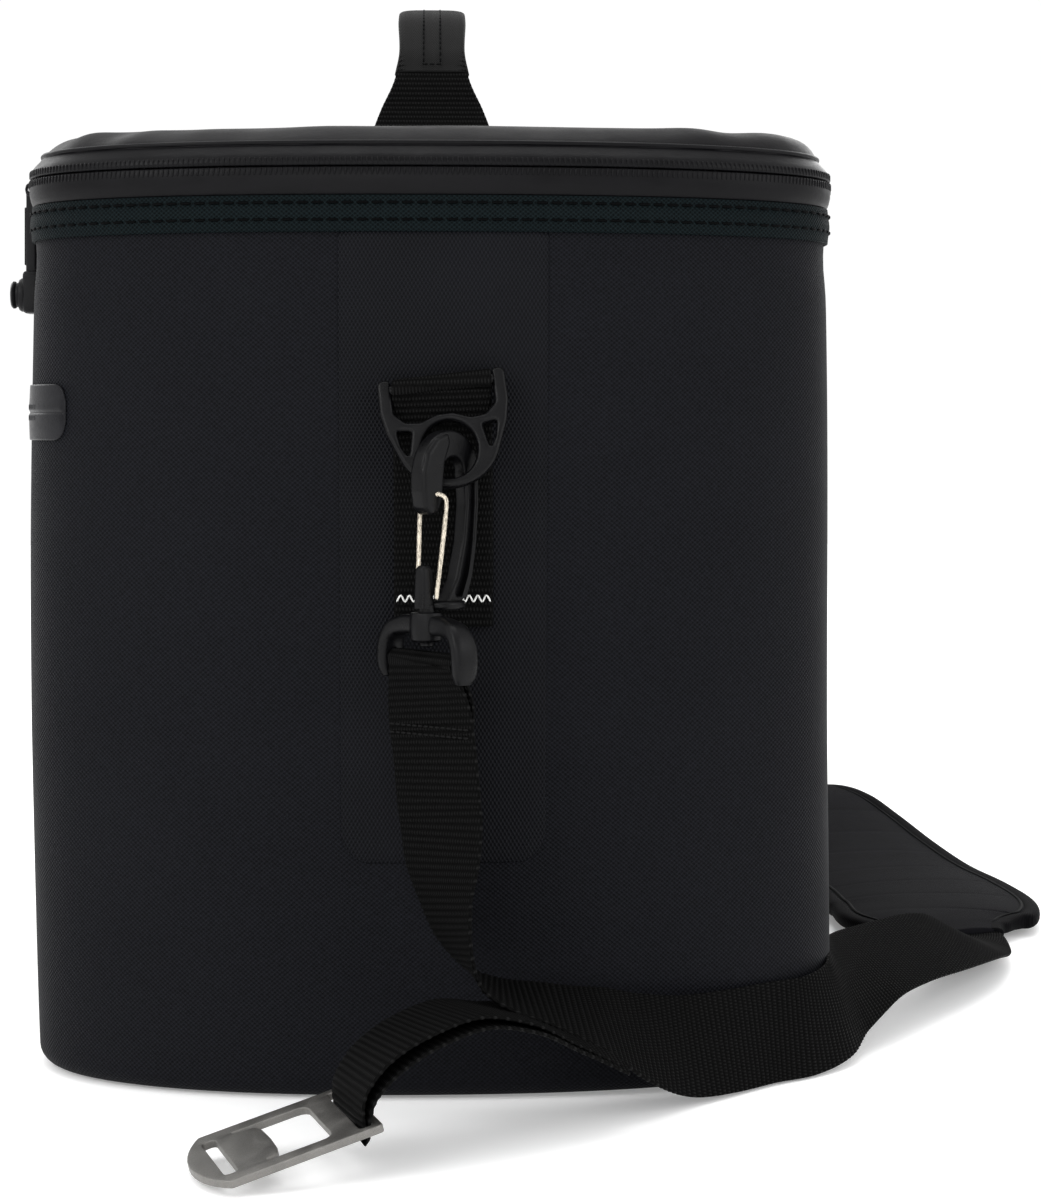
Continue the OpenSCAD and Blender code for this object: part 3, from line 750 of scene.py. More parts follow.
def hoop(name, profile, soft=True):
    """Closed ring round the body from a closed profile of (growth, height)."""
    rows = [skin_row(g, z, soft) for g, z in profile]
    steps = [math.hypot(b[0] - a[0], b[1] - a[1]) for a, b in zip(profile, profile[1:] + profile[:1])]
    across = np.concatenate([[0], np.cumsum(steps)])
    u = np.tile(PLAN_RUN[None, :], (len(profile) + 1, 1))
    v = np.tile(across[:, None], (1, AROUND + 1))
    return outward(grid(name, rows, u, v, close_rows=True))


def arc_points(cx, cz, r, start, stop, count):
    """Points of a profile along an arc, with angles in degrees."""
    return [(cx + r * math.cos(math.radians(a)), cz + r * math.sin(math.radians(a)))
            for a in np.linspace(start, stop, count)]


# ---------------------------------------------------------------- body

BOTTOM_R = 7.0
wall_profile = arc_points(-BOTTOM_R, BOTTOM_R + 0.4, BOTTOM_R, -80, 0, 7)
wall_profile += [(0, z) for z in np.linspace(12, TAPE_Z[0] + 6, 60)]
wall_profile += [(-1.1, TAPE_Z[0] + 6), (-1.1, 10)]
finish_piece(hoop("wall", wall_profile), "wall", "root", "wall_fabric", "outer_wall")


def base_skin():
    """Flat bottom cloth with its edge turned up inside the wall."""
    rows = [skin_row(-BOTTOM_R + g, z) for g, z in [(1.2, 1.6), (0.4, 0.5), (-3, 0.15)]]
    centre = np.array([0, 0, 0.05])
    for share in (0.8, 0.5, 0.2, 0.02):
        rows.append(centre + (rows[2] - centre) * share)
    return outward(grid("base", rows, *plan_uv(rows), caps=True))


finish_piece(base_skin(), "base", "root", "base_fabric", "base_panel")

binding_profile = [(0.3, TAPE_Z[0]), (1.3, TAPE_Z[0] + 0.2)]
binding_profile += [(1.75 - 0.35 * math.cos(2 * math.pi * t), TAPE_Z[0] + 0.8 + 12.2 * t)
                    for t in np.linspace(0.02, 0.98, 12)]
binding_profile += [(1.3, TAPE_Z[1] - 0.2), (0.3, TAPE_Z[1]), (-0.6, TAPE_Z[1] - 0.6), (-0.6, TAPE_Z[0] + 0.6)]
finish_piece(hoop("binding", binding_profile, soft=False), "binding", "root", "binding", "binding_tape")


def round_body(z, grow, pitch, part=(0.0, 1.0)):
    """Centres, directions along and outwards, every pitch round the body at a height."""
    length = PLAN_RUN[-1]
    at = np.arange(part[0] * length, part[1] * length - pitch / 2, pitch)
    def pick(values):
        closed = np.concatenate([values, values[:1]])
        return np.stack([np.interp(at, PLAN_RUN, closed[:, k]) for k in range(closed.shape[1])], axis=1)
    out = unit_rows(pick(PLAN_OUT))
    centre = pick(PLAN) + out * grow
    along = np.stack([-out[:, 1], out[:, 0], np.zeros(len(at))], axis=1)
    return np.column_stack([centre, np.full(len(at), float(z))]), along, np.column_stack([out, np.zeros(len(at))])


stitches = []
for n, z in enumerate((TAPE_Z[0] + 4.6, TAPE_Z[1] - 3.0)):
    centre, along, out = round_body(z, 2.05, 5.6)
    stitches.append(beads(f"row_{n}", centre, along, out, (4.3, 1.1, 0.9)))
finish_piece(join("binding_stitches", *stitches), "black_thread", "root", "binding")


# The glossy zip tape bulges out from the binding to the teeth, on both sides of the zip line
lower_tape_profile = [(0.2, TAPE_Z[1] - 0.5), (1.0, TAPE_Z[1] + 0.3), (1.7, TAPE_Z[1] + 2), (2.3, TAPE_Z[1] + 4.5),
                      (2.4, LOWER_ROW_Z[0] + 0.6), (2.3, LOWER_ROW_Z[1] - 0.6), (1.9, LOWER_ROW_Z[1] - 0.1),
                      (-0.9, LOWER_ROW_Z[1] - 0.1), (-0.9, TAPE_Z[1] - 0.5)]
finish_piece(hoop("lower_tape", lower_tape_profile, soft=False), "film", "root", "coated_tape", "lower_zip_tape")
U0, U1 = UPPER_ROW_Z
upper_tape_profile = [(1.9, U0 + 0.05), (2.3, U0 + 0.5), (2.2, U0 + 1.6), (1.7, U1 - 0.4), (0.4, U1 + 1.4),
                      (-1.6, RIM_LOW + 0.8), (-2.6, RIM_LOW + 2.2), (-3.2, RIM_LOW + 2.6), (-5, RIM_LOW + 2),
                      (-5, U0 + 0.05)]
finish_piece(hoop("lid_tape", upper_tape_profile, soft=False), "film", "lid", "coated_tape", "lid_band")

BACK_HALF = STRAIGHT_L / PLAN_RUN[-1]
ZIP_PART = (BACK_HALF, 1 - BACK_HALF)


def teeth(name, z_low, z_high, lean, grow):
    """Zip teeth: small bars that stand across the row under the film."""
    centre, along, out = round_body((z_low + z_high) / 2, grow, 2.0, ZIP_PART)
    upright = np.tile([0, 0, 1.0], (len(centre), 1)) + along * lean
    return beads(name, centre, upright, out, (z_high - z_low - 0.6, 1.05, 1.15))


finish_piece(teeth("lower_teeth", *LOWER_ROW_Z, 0.14, 2.25), "film", "root", "coil", "lower_coil")
finish_piece(teeth("upper_teeth", *UPPER_ROW_Z, -0.14, 1.95), "film", "lid", "coil", "upper_coil")

# ---------------------------------------------------------------- end patches, tabs and bartacks

PATCH_LOW, PATCH_HIGH = node_box("end_patch_near")
PATCH_X = (PATCH_LOW[0] + PATCH_HIGH[0]) / 2
PATCH_Z = PATCH_LOW[2]
PATCH_TOP_HALF = (PATCH_HIGH[0] - PATCH_LOW[0]) / 2


def near_wall(x, z, grow):
    """Point on the near end's soft wall at x and z."""
    bulge, lean = swell(z, PLAN)
    xy = PLAN + PLAN_OUT * (grow + bulge)[:, None]
    xy[:, 0] += lean
    near = xy[:, 1] < -STRAIGHT_L
    order = np.argsort(xy[near, 0])
    return [x, float(np.interp(x, xy[near, 0][order], xy[near, 1][order])), z]


def end_patch(name, turn):
    """Welded patch with rounded lower corners and a pressed edge, laid on the wall."""
    corner = 12.0
    low_half = PATCH_TOP_HALF - 1.5
    rows = []
    heights = np.concatenate([PATCH_Z + corner * (1 - np.cos(np.linspace(0, math.pi / 2, 9))),
                              np.linspace(PATCH_Z + corner, TAPE_Z[0] + 1, 60)[1:]])
    for z in heights:
        share = (z - PATCH_Z) / (TAPE_Z[0] - PATCH_Z)
        half = low_half + (PATCH_TOP_HALF - low_half) * share
        if z < PATCH_Z + corner:
            half -= corner - math.sqrt(max(corner ** 2 - (PATCH_Z + corner - z) ** 2, 0))
        across = np.array([-1, -0.992, -0.975, -0.955, -0.93] + list(np.linspace(-0.88, 0.88, 30))
                          + [0.93, 0.955, 0.975, 0.992, 1])
        lift = np.interp(np.abs(across) * half, [0, half - 3.4, half - 2.4, half - 0.5, half],
                         [1.0, 1.0, 0.6, 0.6, -0.35])
        if z < PATCH_Z + 3.4:
            lift = np.minimum(lift, np.interp(z - PATCH_Z, [0, 0.5, 2.4, 3.4], [-0.35, 0.6, 0.6, 1.0]))
        rows.append([near_wall(PATCH_X + half * a, z, 0.15 + g) for a, g in zip(across, lift)])
    front = np.array(rows)
    back = front + np.array([0, 0.9, 0])
    points = np.concatenate([front, back[:, ::-1]], axis=1)
    u = np.concatenate([front[:, :, 0], back[:, ::-1, 0], front[:, :1, 0]], axis=1)
    v = np.concatenate([front[:, :, 2], back[:, ::-1, 2], front[:, :1, 2]], axis=1)
    return about(outward(grid(name, points, u, v, caps=True)), turn)


TAB_W = 37.0
BAR, BAR_AXIS = joint_place("ring_near_swing")
RING_TILT = math.degrees(math.asin(abs(BAR_AXIS[2])))
RING_LEAN = 18.0
BAR_R = 2.2


def ring_tab(name, turn):
    """Webbing tab: up the patch, round the ring's bar and back down behind."""
    tilt = math.radians(RING_TILT)
    bar_across = [math.cos(tilt), 0, math.sin(tilt)]
    flat_across = [1, 0, 0]
    foot_z, waist_z = 178, 215
    back_y, front_y = -HALF_L - 3.3, -HALF_L - 4.9
    stations = [[PATCH_X, back_y, foot_z, *flat_across], [PATCH_X, back_y, waist_z, *flat_across],
                [PATCH_X - 0.3, back_y - 0.4, 248, *flat_across]]
    loop_r = BAR_R + 1.1
    for angle in range(-50, 231, 28):
        a = math.radians(angle)
        stations.append([BAR[0], BAR[1] + loop_r * math.cos(a), BAR[2] + loop_r * math.sin(a), *bar_across])
    stations += [[PATCH_X - 0.3, front_y - 0.9, 246, *flat_across], [PATCH_X, front_y - 0.2, waist_z, *flat_across],
                 [PATCH_X, front_y, foot_z, *flat_across]]
    return about(band(name, stations, TAB_W, STRAP_T, rib=0.35, edge=0.15), turn)


def bartack(name, turn):
    """Zigzag of white thread across the tab."""
    half = TAB_W / 2 - 1
    y = -HALF_L - 6.3
    middle_z, swing, count = 188.5, 1.2, 22
    points = [[PATCH_X - half + 2 * half * k / count, y, middle_z + (swing if k % 2 else -swing)]
              for k in range(count + 1)]
    return about(tube(name, points, 0.35, step=0.5, sides=6), turn)


for end, turn in ENDS:
    finish_piece(end_patch(f"patch_{end}", turn), "patch", "root", "patch_fabric", f"end_patch_{end}")
    finish_piece(ring_tab(f"tab_{end}", turn), "webbing", "root", "webbing", f"ring_tab_{end}")
    finish_piece(bartack(f"bartack_{end}", turn), "white_thread", "root", "webbing")

# ---------------------------------------------------------------- inside of the bag

LINER_LOW, LINER_HIGH = node_box("inner_liner")
LINER_GROW = LINER_HIGH[0] - HALF_W


def ripple_row(grow, z):
    """Row of the liner, which creases a little more than the outer wall."""
    bulge = 0.5 * np.sin(PLAN_RUN[:-1] / 21 + z / 33) * np.sin(PLAN_RUN[:-1] / 57 - z / 47)
    xy = PLAN + PLAN_OUT * (grow + bulge)[:, None]
    return np.column_stack([xy, np.full(AROUND, float(z))])


def filled(name, rows, centre_z, shares=(0.8, 0.5, 0.2, 0.0006)):
    """Skin from rings of points, the last of which is carried on to the middle of the body."""
    rows = list(rows)
    edge = rows[-1][:, :2]
    for share in shares:
        xy = MIDDLE_LINE + (edge - MIDDLE_LINE) * share
        rows.append(np.column_stack([xy, np.full(AROUND, float(centre_z))]))
    return grid(name, rows, *plan_uv(rows))


def liner():
    """Liner film: a floor, a rounded corner and walls, as one skin with some thickness."""
    inner, outer = LINER_GROW - 0.9, LINER_GROW
    floor = LINER_LOW[2] + 0.9
    top = LINER_HIGH[2]
    rows = [ripple_row(outer, top), ripple_row(inner, top)]
    rows += [ripple_row(inner, z) for z in np.linspace(top - 4, floor + 10, 40)]
    rows += [ripple_row(inner - 8 + x, z) for x, z in arc_points(0, floor + 8, 8, -10, -90, 6)]
    return filled("liner", rows, floor)


finish_piece(liner(), "liner", "root", "liner", "inner_liner")


def foam_walls():
    """Foam that stiffens the wall, as a closed ring between the cloth and the liner."""
    foam_low, foam_high = node_box("foam_front")
    thick = foam_high[0] - foam_low[0]
    outer = -2.6
    inner = outer - thick + 2.2
    low, high = foam_low[2] + 1, foam_high[2] - 1
    profile = [(outer - 2, low), (outer, low + 2), (outer, high - 2), (outer - 2, high),
               (inner + 2, high), (inner, high - 2), (inner, low + 2), (inner + 2, low)]
    piece = hoop("foam_walls", profile)
    return finish_piece(piece, "foam", "root", "foam", "foam_front", "foam_back", "foam_near_end", "foam_far_end")


foam_walls()


def slab_pad(name, node, grow, body, drop=0.0):
    """Flat foam board with softened edges in the body's plan. drop takes its top down."""
    low, high = node_box(node)
    z0, z1 = low[2], high[2] - drop
    rows = [skin_row(grow - 40, z0, False), skin_row(grow - 1.2, z0, False), skin_row(grow, z0 + 1.2, False),
            skin_row(grow, z1 - 1.2, False), skin_row(grow - 1.2, z1, False), skin_row(grow - 40, z1, False)]
    u = np.tile(PLAN_RUN[None, :], (len(rows), 1))
    v = np.tile(np.arange(len(rows))[:, None], (1, AROUND + 1))
    piece = outward(grid(name, rows, u, v, caps=True))
    return finish_piece(piece, "foam", body, "foam", node)


slab_pad("foam_floor", "foam_base", node_box("foam_base")[1][0] - HALF_W, "root")
slab_pad("foam_lid", "lid_foam", -18, "lid", 4.5)

# ---------------------------------------------------------------- pocket zip on the front

STRIP_LOW, STRIP_HIGH = node_box("pocket_zip_strip")
POCKET_Z = (node_box("pocket_coil")[0][2] + node_box("pocket_coil")[1][2]) / 2


def front_path(y_end):
    """Evenly spaced places along the front, from the far end's y to the near end's."""
    front = PLAN[:, 0] < 0
    order = np.argsort(-PLAN[front, 1])
    points, out = PLAN[front][order], PLAN_OUT[front][order]
    keep = np.abs(points[:, 1]) <= y_end + 0.3
    return points[keep], out[keep]


def pocket_strip():
    """Glossy film with a sealed zip in its middle, rounded at both ends."""
    points, out = front_path(-STRIP_LOW[1])
    run = np.concatenate([[0], np.cumsum(np.linalg.norm(np.diff(points, axis=0), axis=1))])
    half_z = (STRIP_HIGH[2] - STRIP_LOW[2]) / 2
    radius = 7.0
    rows = []
    for k, s in enumerate(run):
        edge = min(s, run[-1] - s)
        half = half_z - (radius - math.sqrt(max(radius ** 2 - (radius - edge) ** 2, 0)) if edge < radius else 0)
        share = np.array([-1, -0.985, -0.93, -0.8, -0.5, -0.22, -0.1, -0.05, -0.02, 0.02, 0.05, 0.1, 0.22, 0.5,
                          0.8, 0.93, 0.985, 1])
        lift = np.interp(np.abs(share), [0, 0.03, 0.06, 0.12, 0.3, 0.6, 0.9, 0.985, 1],
                         [0.55, 0.6, 0.9, 1.0, 0.95, 0.8, 0.7, 0.6, 0.1])
        if edge < 3:
            lift = np.minimum(lift, 0.3 + edge * 0.7)
        z = POCKET_Z + share * half
        bulge = np.array([swell(h, PLAN[:1])[0][0] for h in z])
        lean = np.array([swell(h, PLAN[:1])[1] for h in z])
        xy = points[k] + out[k] * (0.25 + lift + bulge)[:, None]
        xy[:, 0] += lean
        rows.append(np.column_stack([xy, z]))
    front = np.array(rows)
    back = front - np.concatenate([out, np.zeros((len(out), 1))], axis=1)[:, None, :] * 0.8
    both = np.concatenate([front, back[:, ::-1]], axis=1)
    v = np.concatenate([front[:, :, 2], back[:, ::-1, 2], front[:, :1, 2]], axis=1)
    u = np.tile(run[:, None], (1, both.shape[1] + 1))
    return outward(grid("pocket_strip", both, u, v, caps=True))


finish_piece(pocket_strip(), "pocket_film", "root", "coated_tape", "pocket_zip_strip")


def pocket_teeth():
    """Two rows of small ridges beside the zip line."""
    points, out = front_path(-node_box("pocket_coil")[0][1])
    run = np.concatenate([[0], np.cumsum(np.linalg.norm(np.diff(points, axis=0), axis=1))])
    at = np.arange(2, run[-1] - 2, 2.5)
    centre = np.stack([np.interp(at, run, points[:, k]) for k in (0, 1)], axis=1)
    normal = np.stack([np.interp(at, run, out[:, k]) for k in (0, 1)], axis=1)
    parts = []
    for n, side in enumerate((-1, 1)):
        z = POCKET_Z + side * 2.1
        bulge, lean = swell(z, PLAN[:1])
        xy = centre + normal * (1.15 + bulge[0])
        xy[:, 0] += lean
        place = np.column_stack([xy, np.full(len(at), z)])
        upright = np.tile([0, 0, 1.0], (len(at), 1))
        parts.append(beads(f"teeth_{n}", place, upright, np.column_stack([normal, np.zeros(len(at))]),
                           (2.2, 0.6, 0.5)))
    return join("pocket_teeth", *parts)


finish_piece(pocket_teeth(), "pocket_film", "root", "coil", "pocket_coil")

# ---------------------------------------------------------------- lid


def hinge_cloth():
    """Sewn cloth hinge over the zip gap along the back."""
    low, high = node_box("hinge_strip")
    half = high[1]
    x0 = HALF_W + 2.7
    stations = np.linspace(-half, half, 160)
    rows = []
    for y in stations:
        ease = min(1.0, (half - abs(y)) / 3 + 0.25)
        z = np.concatenate([np.linspace(low[2], high[2], 16), np.linspace(high[2], low[2], 16)])
        face = np.concatenate([np.full(16, 0.75), np.full(16, 0.0)])
        fold = 0.35 * np.cos((z - (low[2] + high[2]) / 2) * 0.55) * ease
        wave = 0.15 * math.sin(y / 9) * np.cos((z - low[2]) * 0.3)
        rows.append(np.column_stack([x0 + face * ease + fold + wave, np.full(32, y), z]))
    z = np.append(rows[0][:, 2], rows[0][0, 2])
    return outward(grid("hinge_cloth", rows, stations, z, caps=True))


hinge = hinge_cloth()
finish_piece(hinge, "binding", None, "hinge_cloth", "hinge_strip")
HINGE_Z = joint_place("lid_hinge")[0][2]
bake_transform(hinge)

rim_profile = arc_points(-3.0, RIM_LOW + 2.9, 1.0, 0, 330, 12)
finish_piece(hoop("lid_rim_bead", rim_profile, soft=False), "film", "lid", "coated_tape", "lid_rim")


def crown_shape(points, depth):
    """Height of the puffy lid at points that are depth inside its edge."""
    x, y = points[:, 0], points[:, 1]
    edge = RIM_LOW + 2.2
    pace = np.interp(x, [0, HALF_W], [7.5, 3.6])
    rise = (CROWN_Z - 1.0 - edge) * (1 - np.exp(-depth / pace)) + 1.0 * (1 - math.exp(-depth / 60))
    arc = np.arctan2(y / HALF_L, x / HALF_W)
    puff = 0.9 * np.sin(7 * arc + 1.1) + 0.55 * np.sin(17 * arc + 2.0 * np.sin(3 * arc))
    corner = np.exp(-((np.abs(x) - 118) / 30) ** 2) * np.exp(-((np.abs(y) - 190) / 26) ** 2)
    folds = 1.5 * corner * np.sin((x * 0.8 - y * 0.6) / 4.6 + 1.3 * np.sin(y / 17))
    shoulder = math.exp(-((depth - 9) / 9) ** 2)
    waves = 0.5 * np.sin(x / 31 + 1.2 * np.sin(y / 57)) * np.sin(y / 43) * min(1, depth / 30)
    return edge + rise + (puff * 0.55 + folds) * shoulder + waves


def crown():
    """Puffy welded lid: a shoulder that rises from the rim, small folds near the corners, a soft top."""
    shoulder = 34
    depths = np.concatenate([[-0.6, 0.0, 0.4, 0.9, 1.6, 2.4, 3.4, 4.6], np.linspace(6, shoulder, 18)])
    rows = [np.column_stack([PLAN - PLAN_OUT * (d + 2.8), crown_shape(PLAN, max(d, 0.0))]) for d in depths]
    edge = rows[-1][:, :2]
    for share in (0.9, 0.8, 0.7, 0.6, 0.5, 0.4, 0.3, 0.2, 0.1, 0.0006):
        xy = MIDDLE_LINE + (edge - MIDDLE_LINE) * share
        rows.append(np.column_stack([xy, crown_shape(xy, shoulder + 90 * (1 - share))]))
    under = RIM_LOW + 1
    rows = [np.column_stack([PLAN - PLAN_OUT * 16, np.full(AROUND, under)]),
            np.column_stack([PLAN - PLAN_OUT * 3.2, np.full(AROUND, under)])] + rows
    return outward(grid("lid_crown", rows, *plan_uv(rows)))


lid_crown = crown()
finish_piece(lid_crown, "lid", "lid", "lid_fabric", "lid_top")


def lid_lining():
    """Smooth film under the lid, with a flat welded border."""
    low, high = node_box("lid_liner")
    grow = high[0] - HALF_W
    rows = [ripple_row(grow, high[2]), ripple_row(grow, low[2]), ripple_row(grow - 7, low[2]),
            ripple_row(grow - 8.5, low[2] + 0.5), ripple_row(grow - 14, low[2] + 0.6)]
    return filled("lid_lining", rows, low[2] + 0.6)


finish_piece(lid_lining(), "liner", "lid", "liner", "lid_liner")

# ---------------------------------------------------------------- carry handle

HANDLE_Z = node_box("carry_handle")[1][2] - 1.5
HANDLE_FOOT = CROWN_Z + 3.6
HANDLE_W = node_box("carry_handle")[1][0] * 2
GRIP_W = 27.0
FACE_X = [1, 0, 0]
handle_half = [
    [0, -142, HANDLE_FOOT, *FACE_X, HANDLE_W, 3], [0, -113, HANDLE_FOOT, *FACE_X, HANDLE_W, 3],
    [0, -103, HANDLE_FOOT + 4.5, *FACE_X, HANDLE_W, 3], [0, -96, HANDLE_FOOT + 15, *FACE_X, HANDLE_W - 7, 3],
    [0, -90, HANDLE_FOOT + 28, *FACE_X, GRIP_W + 5.5, 3.2], [0, -81, HANDLE_FOOT + 42, *FACE_X, GRIP_W + 0.5, 3.6],
    [0, -63, HANDLE_Z - 9.5, *FACE_X, GRIP_W, 4], [0, -40, HANDLE_Z - 2.8, *FACE_X, GRIP_W, 4],
    [0, -18, HANDLE_Z - 0.6, *FACE_X, GRIP_W, 4],
]
HANDLE_ROUTE = handle_half + [[0, 0, HANDLE_Z, *FACE_X, GRIP_W, 4]]
HANDLE_ROUTE += [[s[0], -s[1]] + s[2:] for s in handle_half[::-1]]
finish_piece(band("handle_strap", HANDLE_ROUTE, rib=0.55, edge=0.2), "webbing", "lid", "webbing", "carry_handle")


def handle_wrap():
    """Cloth wrapped round the narrow part of the handle, fuller in its middle."""
    route = [s[:6] + [GRIP_W + 2.6, 7.0] for s in HANDLE_ROUTE if abs(s[1]) < 85]
    for s in route:
        if abs(s[1]) > 70:
            s[6], s[7] = GRIP_W + 1.4, 5.0
    for y in (-88, 88):
        route.insert(0 if y < 0 else len(route), [0, y, HANDLE_FOOT + 31.2, *FACE_X, GRIP_W + 5, 4.8])
    return band("handle_wrap", route, power=4.2, count=28)


finish_piece(handle_wrap(), "grip", "lid", "grip_fabric", "handle_grip")


def route_places(route, distance, side, step, first, last):
    """Places on a band's face every step from first to last, at side across it and distance off it."""
    path, run, along, across, normal = swept(route, 1.0)
    at = np.arange(first, last, step)
    pick = lambda a: np.stack([np.interp(at, run, a[:, k]) for k in range(3)], axis=1)
    c, a, x, n = pick(path[:, :3]), pick(along), pick(across), pick(normal)
    return c + x * side + n * distance, a, n


wrap_length = spline(np.asarray(HANDLE_ROUTE, float), 1.0)[1][-1]
seam_parts = []
for n, side in enumerate((-3.6, 3.6)):
    for m, face in enumerate((-1, 1)):
        spot, along, out = route_places(HANDLE_ROUTE, face * 3.45, side, 3.4, 76, wrap_length - 76)
        seam_parts.append(beads(f"seam_{n}{m}", spot, along, out, (2.5, 0.8, 0.6)))
for m, (start, face) in enumerate(((74, -1), (74, 1), (wrap_length - 74, -1), (wrap_length - 74, 1))):
    for n, side in enumerate(np.linspace(-3, 3, 3)):
        spot, along, out = route_places(HANDLE_ROUTE, face * 3.3, side, 3.4, start, start + 1)
        across = np.cross(out, along)
        seam_parts.append(beads(f"close_{m}{n}", spot[:1], across[:1], out[:1], (2.3, 0.8, 0.6)))
finish_piece(join("handle_seam", *seam_parts), "black_thread", "lid", "grip_fabric")


def handle_anchor(name, turn):
    """Welded patch under each end of the handle, with rounded corners and a pressed edge."""
    low, high = node_box("handle_anchor_near")
    cx, cy = (low[0] + high[0]) / 2, (low[1] + high[1]) / 2
    hx, hy = (high[0] - low[0]) / 2, (high[1] - low[1]) / 2
    outline = box(-hx, -hy, hx, hy, 9)
    place = mm_matrix((cx, cy, (low[2] + high[2]) / 2 + 0.2), Matrix.Identity(4))
    return about(plate(name, [outline], high[2] - low[2] + 0.9, 0.6, place), turn)


def box_stitch(name, turn):
    """Box with a cross, sewn through the flat end of the handle."""
    low, high = node_box("handle_anchor_near")
    x, y0, y1, z = HANDLE_W / 2 - 5, low[1] + 14, high[1] - 10, HANDLE_FOOT + 2.1
    corners = [(-x, y0), (x, y0), (x, y1), (-x, y1)]
    lines = list(zip(corners, corners[1:] + corners[:1])) + [(corners[0], corners[2]), (corners[1], corners[3])]
    centres, directions = [], []
    for (ax, ay), (bx, by) in lines:
        count = int(math.hypot(bx - ax, by - ay) / 3.2)
        for k in range(count):
            t = (k + 0.5) / count
            centres.append([ax + (bx - ax) * t, ay + (by - ay) * t, z])
            directions.append([bx - ax, by - ay, 0])
    up = np.tile([0, 0, 1.0], (len(centres), 1))
    return about(beads(name, centres, directions, up, (2.3, 0.7, 0.6)), turn)


for end, turn in ENDS:
    anchor = handle_anchor(f"handle_patch_{end}", turn)
    finish_piece(anchor, "lid", "lid", "patch_fabric", f"handle_anchor_{end}")
    finish_piece(box_stitch(f"handle_stitch_{end}", turn), "black_thread", "lid", "webbing")

# ---------------------------------------------------------------- sliders and pullers on the front

# The plane of a plate that faces the front: its x runs along the bag's Y and its y along Z
FRONT_PLANE = Matrix(((0, 0, -1), (-1, 0, 0), (0, 1, 0)))


def slider(name, node, pin_node, z_zip):
    """Cast slider: a rounded body over the zip line with two ears for the pin."""
    low, high = node_box(node)
    pin_low, pin_high = node_box(pin_node)
    pin_x = (pin_low[0] + pin_high[0]) / 2
    y = (low[1] + high[1]) / 2
    face = high[0]
    shape = rounded([(-8.5, -4.6, 2.5), (8.5, -4.6, 2.5), (10.5, 0, 3), (8.5, 4.6, 2.5), (-8.5, 4.6, 2.5),
                     (-9.5, 0, 2)])
    body = plate(name + "_body", [shape], 2.6, 0.8, mm_matrix((face - 1.1, y, z_zip), FRONT_PLANE))
    ridge = plate(name + "_ridge", [box(-6, -2.6, 6, 2.6, 2)], 1.4, 0.6,
                  mm_matrix((face - 2.7, y, z_zip), FRONT_PLANE))
    ears = []
    reach = face - 2 - pin_x
    for n, side in enumerate((-1, 1)):
        ear = rounded([(-reach - 0.5, -2.6, 0.6), (1.6, -2.6, 2.3), (2.2, 0, 2), (1.6, 2.6, 2.3),
                       (-reach - 0.5, 2.6, 0.6)])
        plane = Matrix(((-1, 0, 0), (0, 0, 1), (0, 1, 0)))
        ears.append(plate(f"{name}_ear_{n}", [ear, circle(0, 0, 1.24, 20)], 2.0, 0.45,
                          mm_matrix((pin_x, y + side * 6.9, z_zip), plane)))
    return creased(join(name, body, ridge, *ears), 40)


def pin(name, node):
    """Round pin across a slider, with eased ends."""
    low, high = node_box(node)
    x, z = (low[0] + high[0]) / 2, (low[2] + high[2]) / 2
    r = (high[0] - low[0]) / 2
    turn = Matrix.Rotation(math.radians(90), 3, "X")
    half = (high[1] - low[1]) / 2
    profile = [(r * 0.6, -half), (r, -half + 0.4), (r, half - 0.4), (r * 0.6, half)]
    return turned(name, profile, mm_matrix((x, (low[1] + high[1]) / 2, z), turn), 24)


def main_puller():
    """Moulded puller: an eye round the pin, a ribbed shank, a block and a round knob."""
    x, y, top = joint_place("main_puller_flip")[0]
    low_z = node_heights("main_puller")[0]
    shank = rounded([(-5.2, low_z + 12 - top, 1), (5.2, low_z + 12 - top, 1), (4.6, -4, 2), (5.2, 2.2, 2.2),
                     (-5.2, 2.2, 2.2), (-4.6, -4, 2)])
    parts = [plate("shank", [shank], 4.6, 1.2, mm_matrix((x, y, top), FRONT_PLANE))]
    for n, inset in enumerate((-1, 1)):
        rib = box(inset * 3 - 0.8, low_z + 20 - top, inset * 3 + 0.8, -7, 0.6)
        parts.append(plate(f"rib_{n}", [rib], 1.4, 0.5, mm_matrix((x - 2.3, y, top), FRONT_PLANE)))
    block = rounded([(-7.3, low_z - top, 3.4), (7.3, low_z - top, 3.4), (7.3, low_z + 17.6 - top, 2.6),
                     (-7.3, low_z + 17.6 - top, 2.6)])
    parts.append(plate("block", [block], 6.6, 1.5, mm_matrix((x - 0.1, y, top), FRONT_PLANE)))
    knob_z = low_z + 7.8
    knob_turn = Matrix.Rotation(math.radians(-90), 3, "Y")
    profile = [(6.9, 0), (7.0, 1.2), (6.4, 2.2), (5.2, 2.6), (5.0, 3.4), (5.6, 4.0), (5.7, 4.8), (5.0, 5.5),
               (2.6, 5.8), (0.4, 5.9)]
    parts.append(turned("knob", profile, mm_matrix((x - 3.2, y, knob_z), knob_turn), 40))
    return creased(join("main_puller_grip", *parts), 40)


def pocket_puller():
    """Moulded tongue with a slot near its end."""
    x, y, top = joint_place("pocket_puller_flip")[0]
    drop = node_heights("pocket_puller")[0] - top
    tongue = rounded([(-4.4, drop, 3), (4.4, drop, 3), (3.9, drop + 12, 2), (3.4, -6, 2), (4.8, 2, 1.8),
                      (-4.8, 2, 1.8), (-3.4, -6, 2), (-3.9, drop + 12, 2)])
    slot = box(-1.6, drop + 4, 1.6, drop + 13, 1.5)
    return plate("pocket_puller_tab", [tongue, slot], 3.0, 0.8, mm_matrix((x, y, top), FRONT_PLANE))


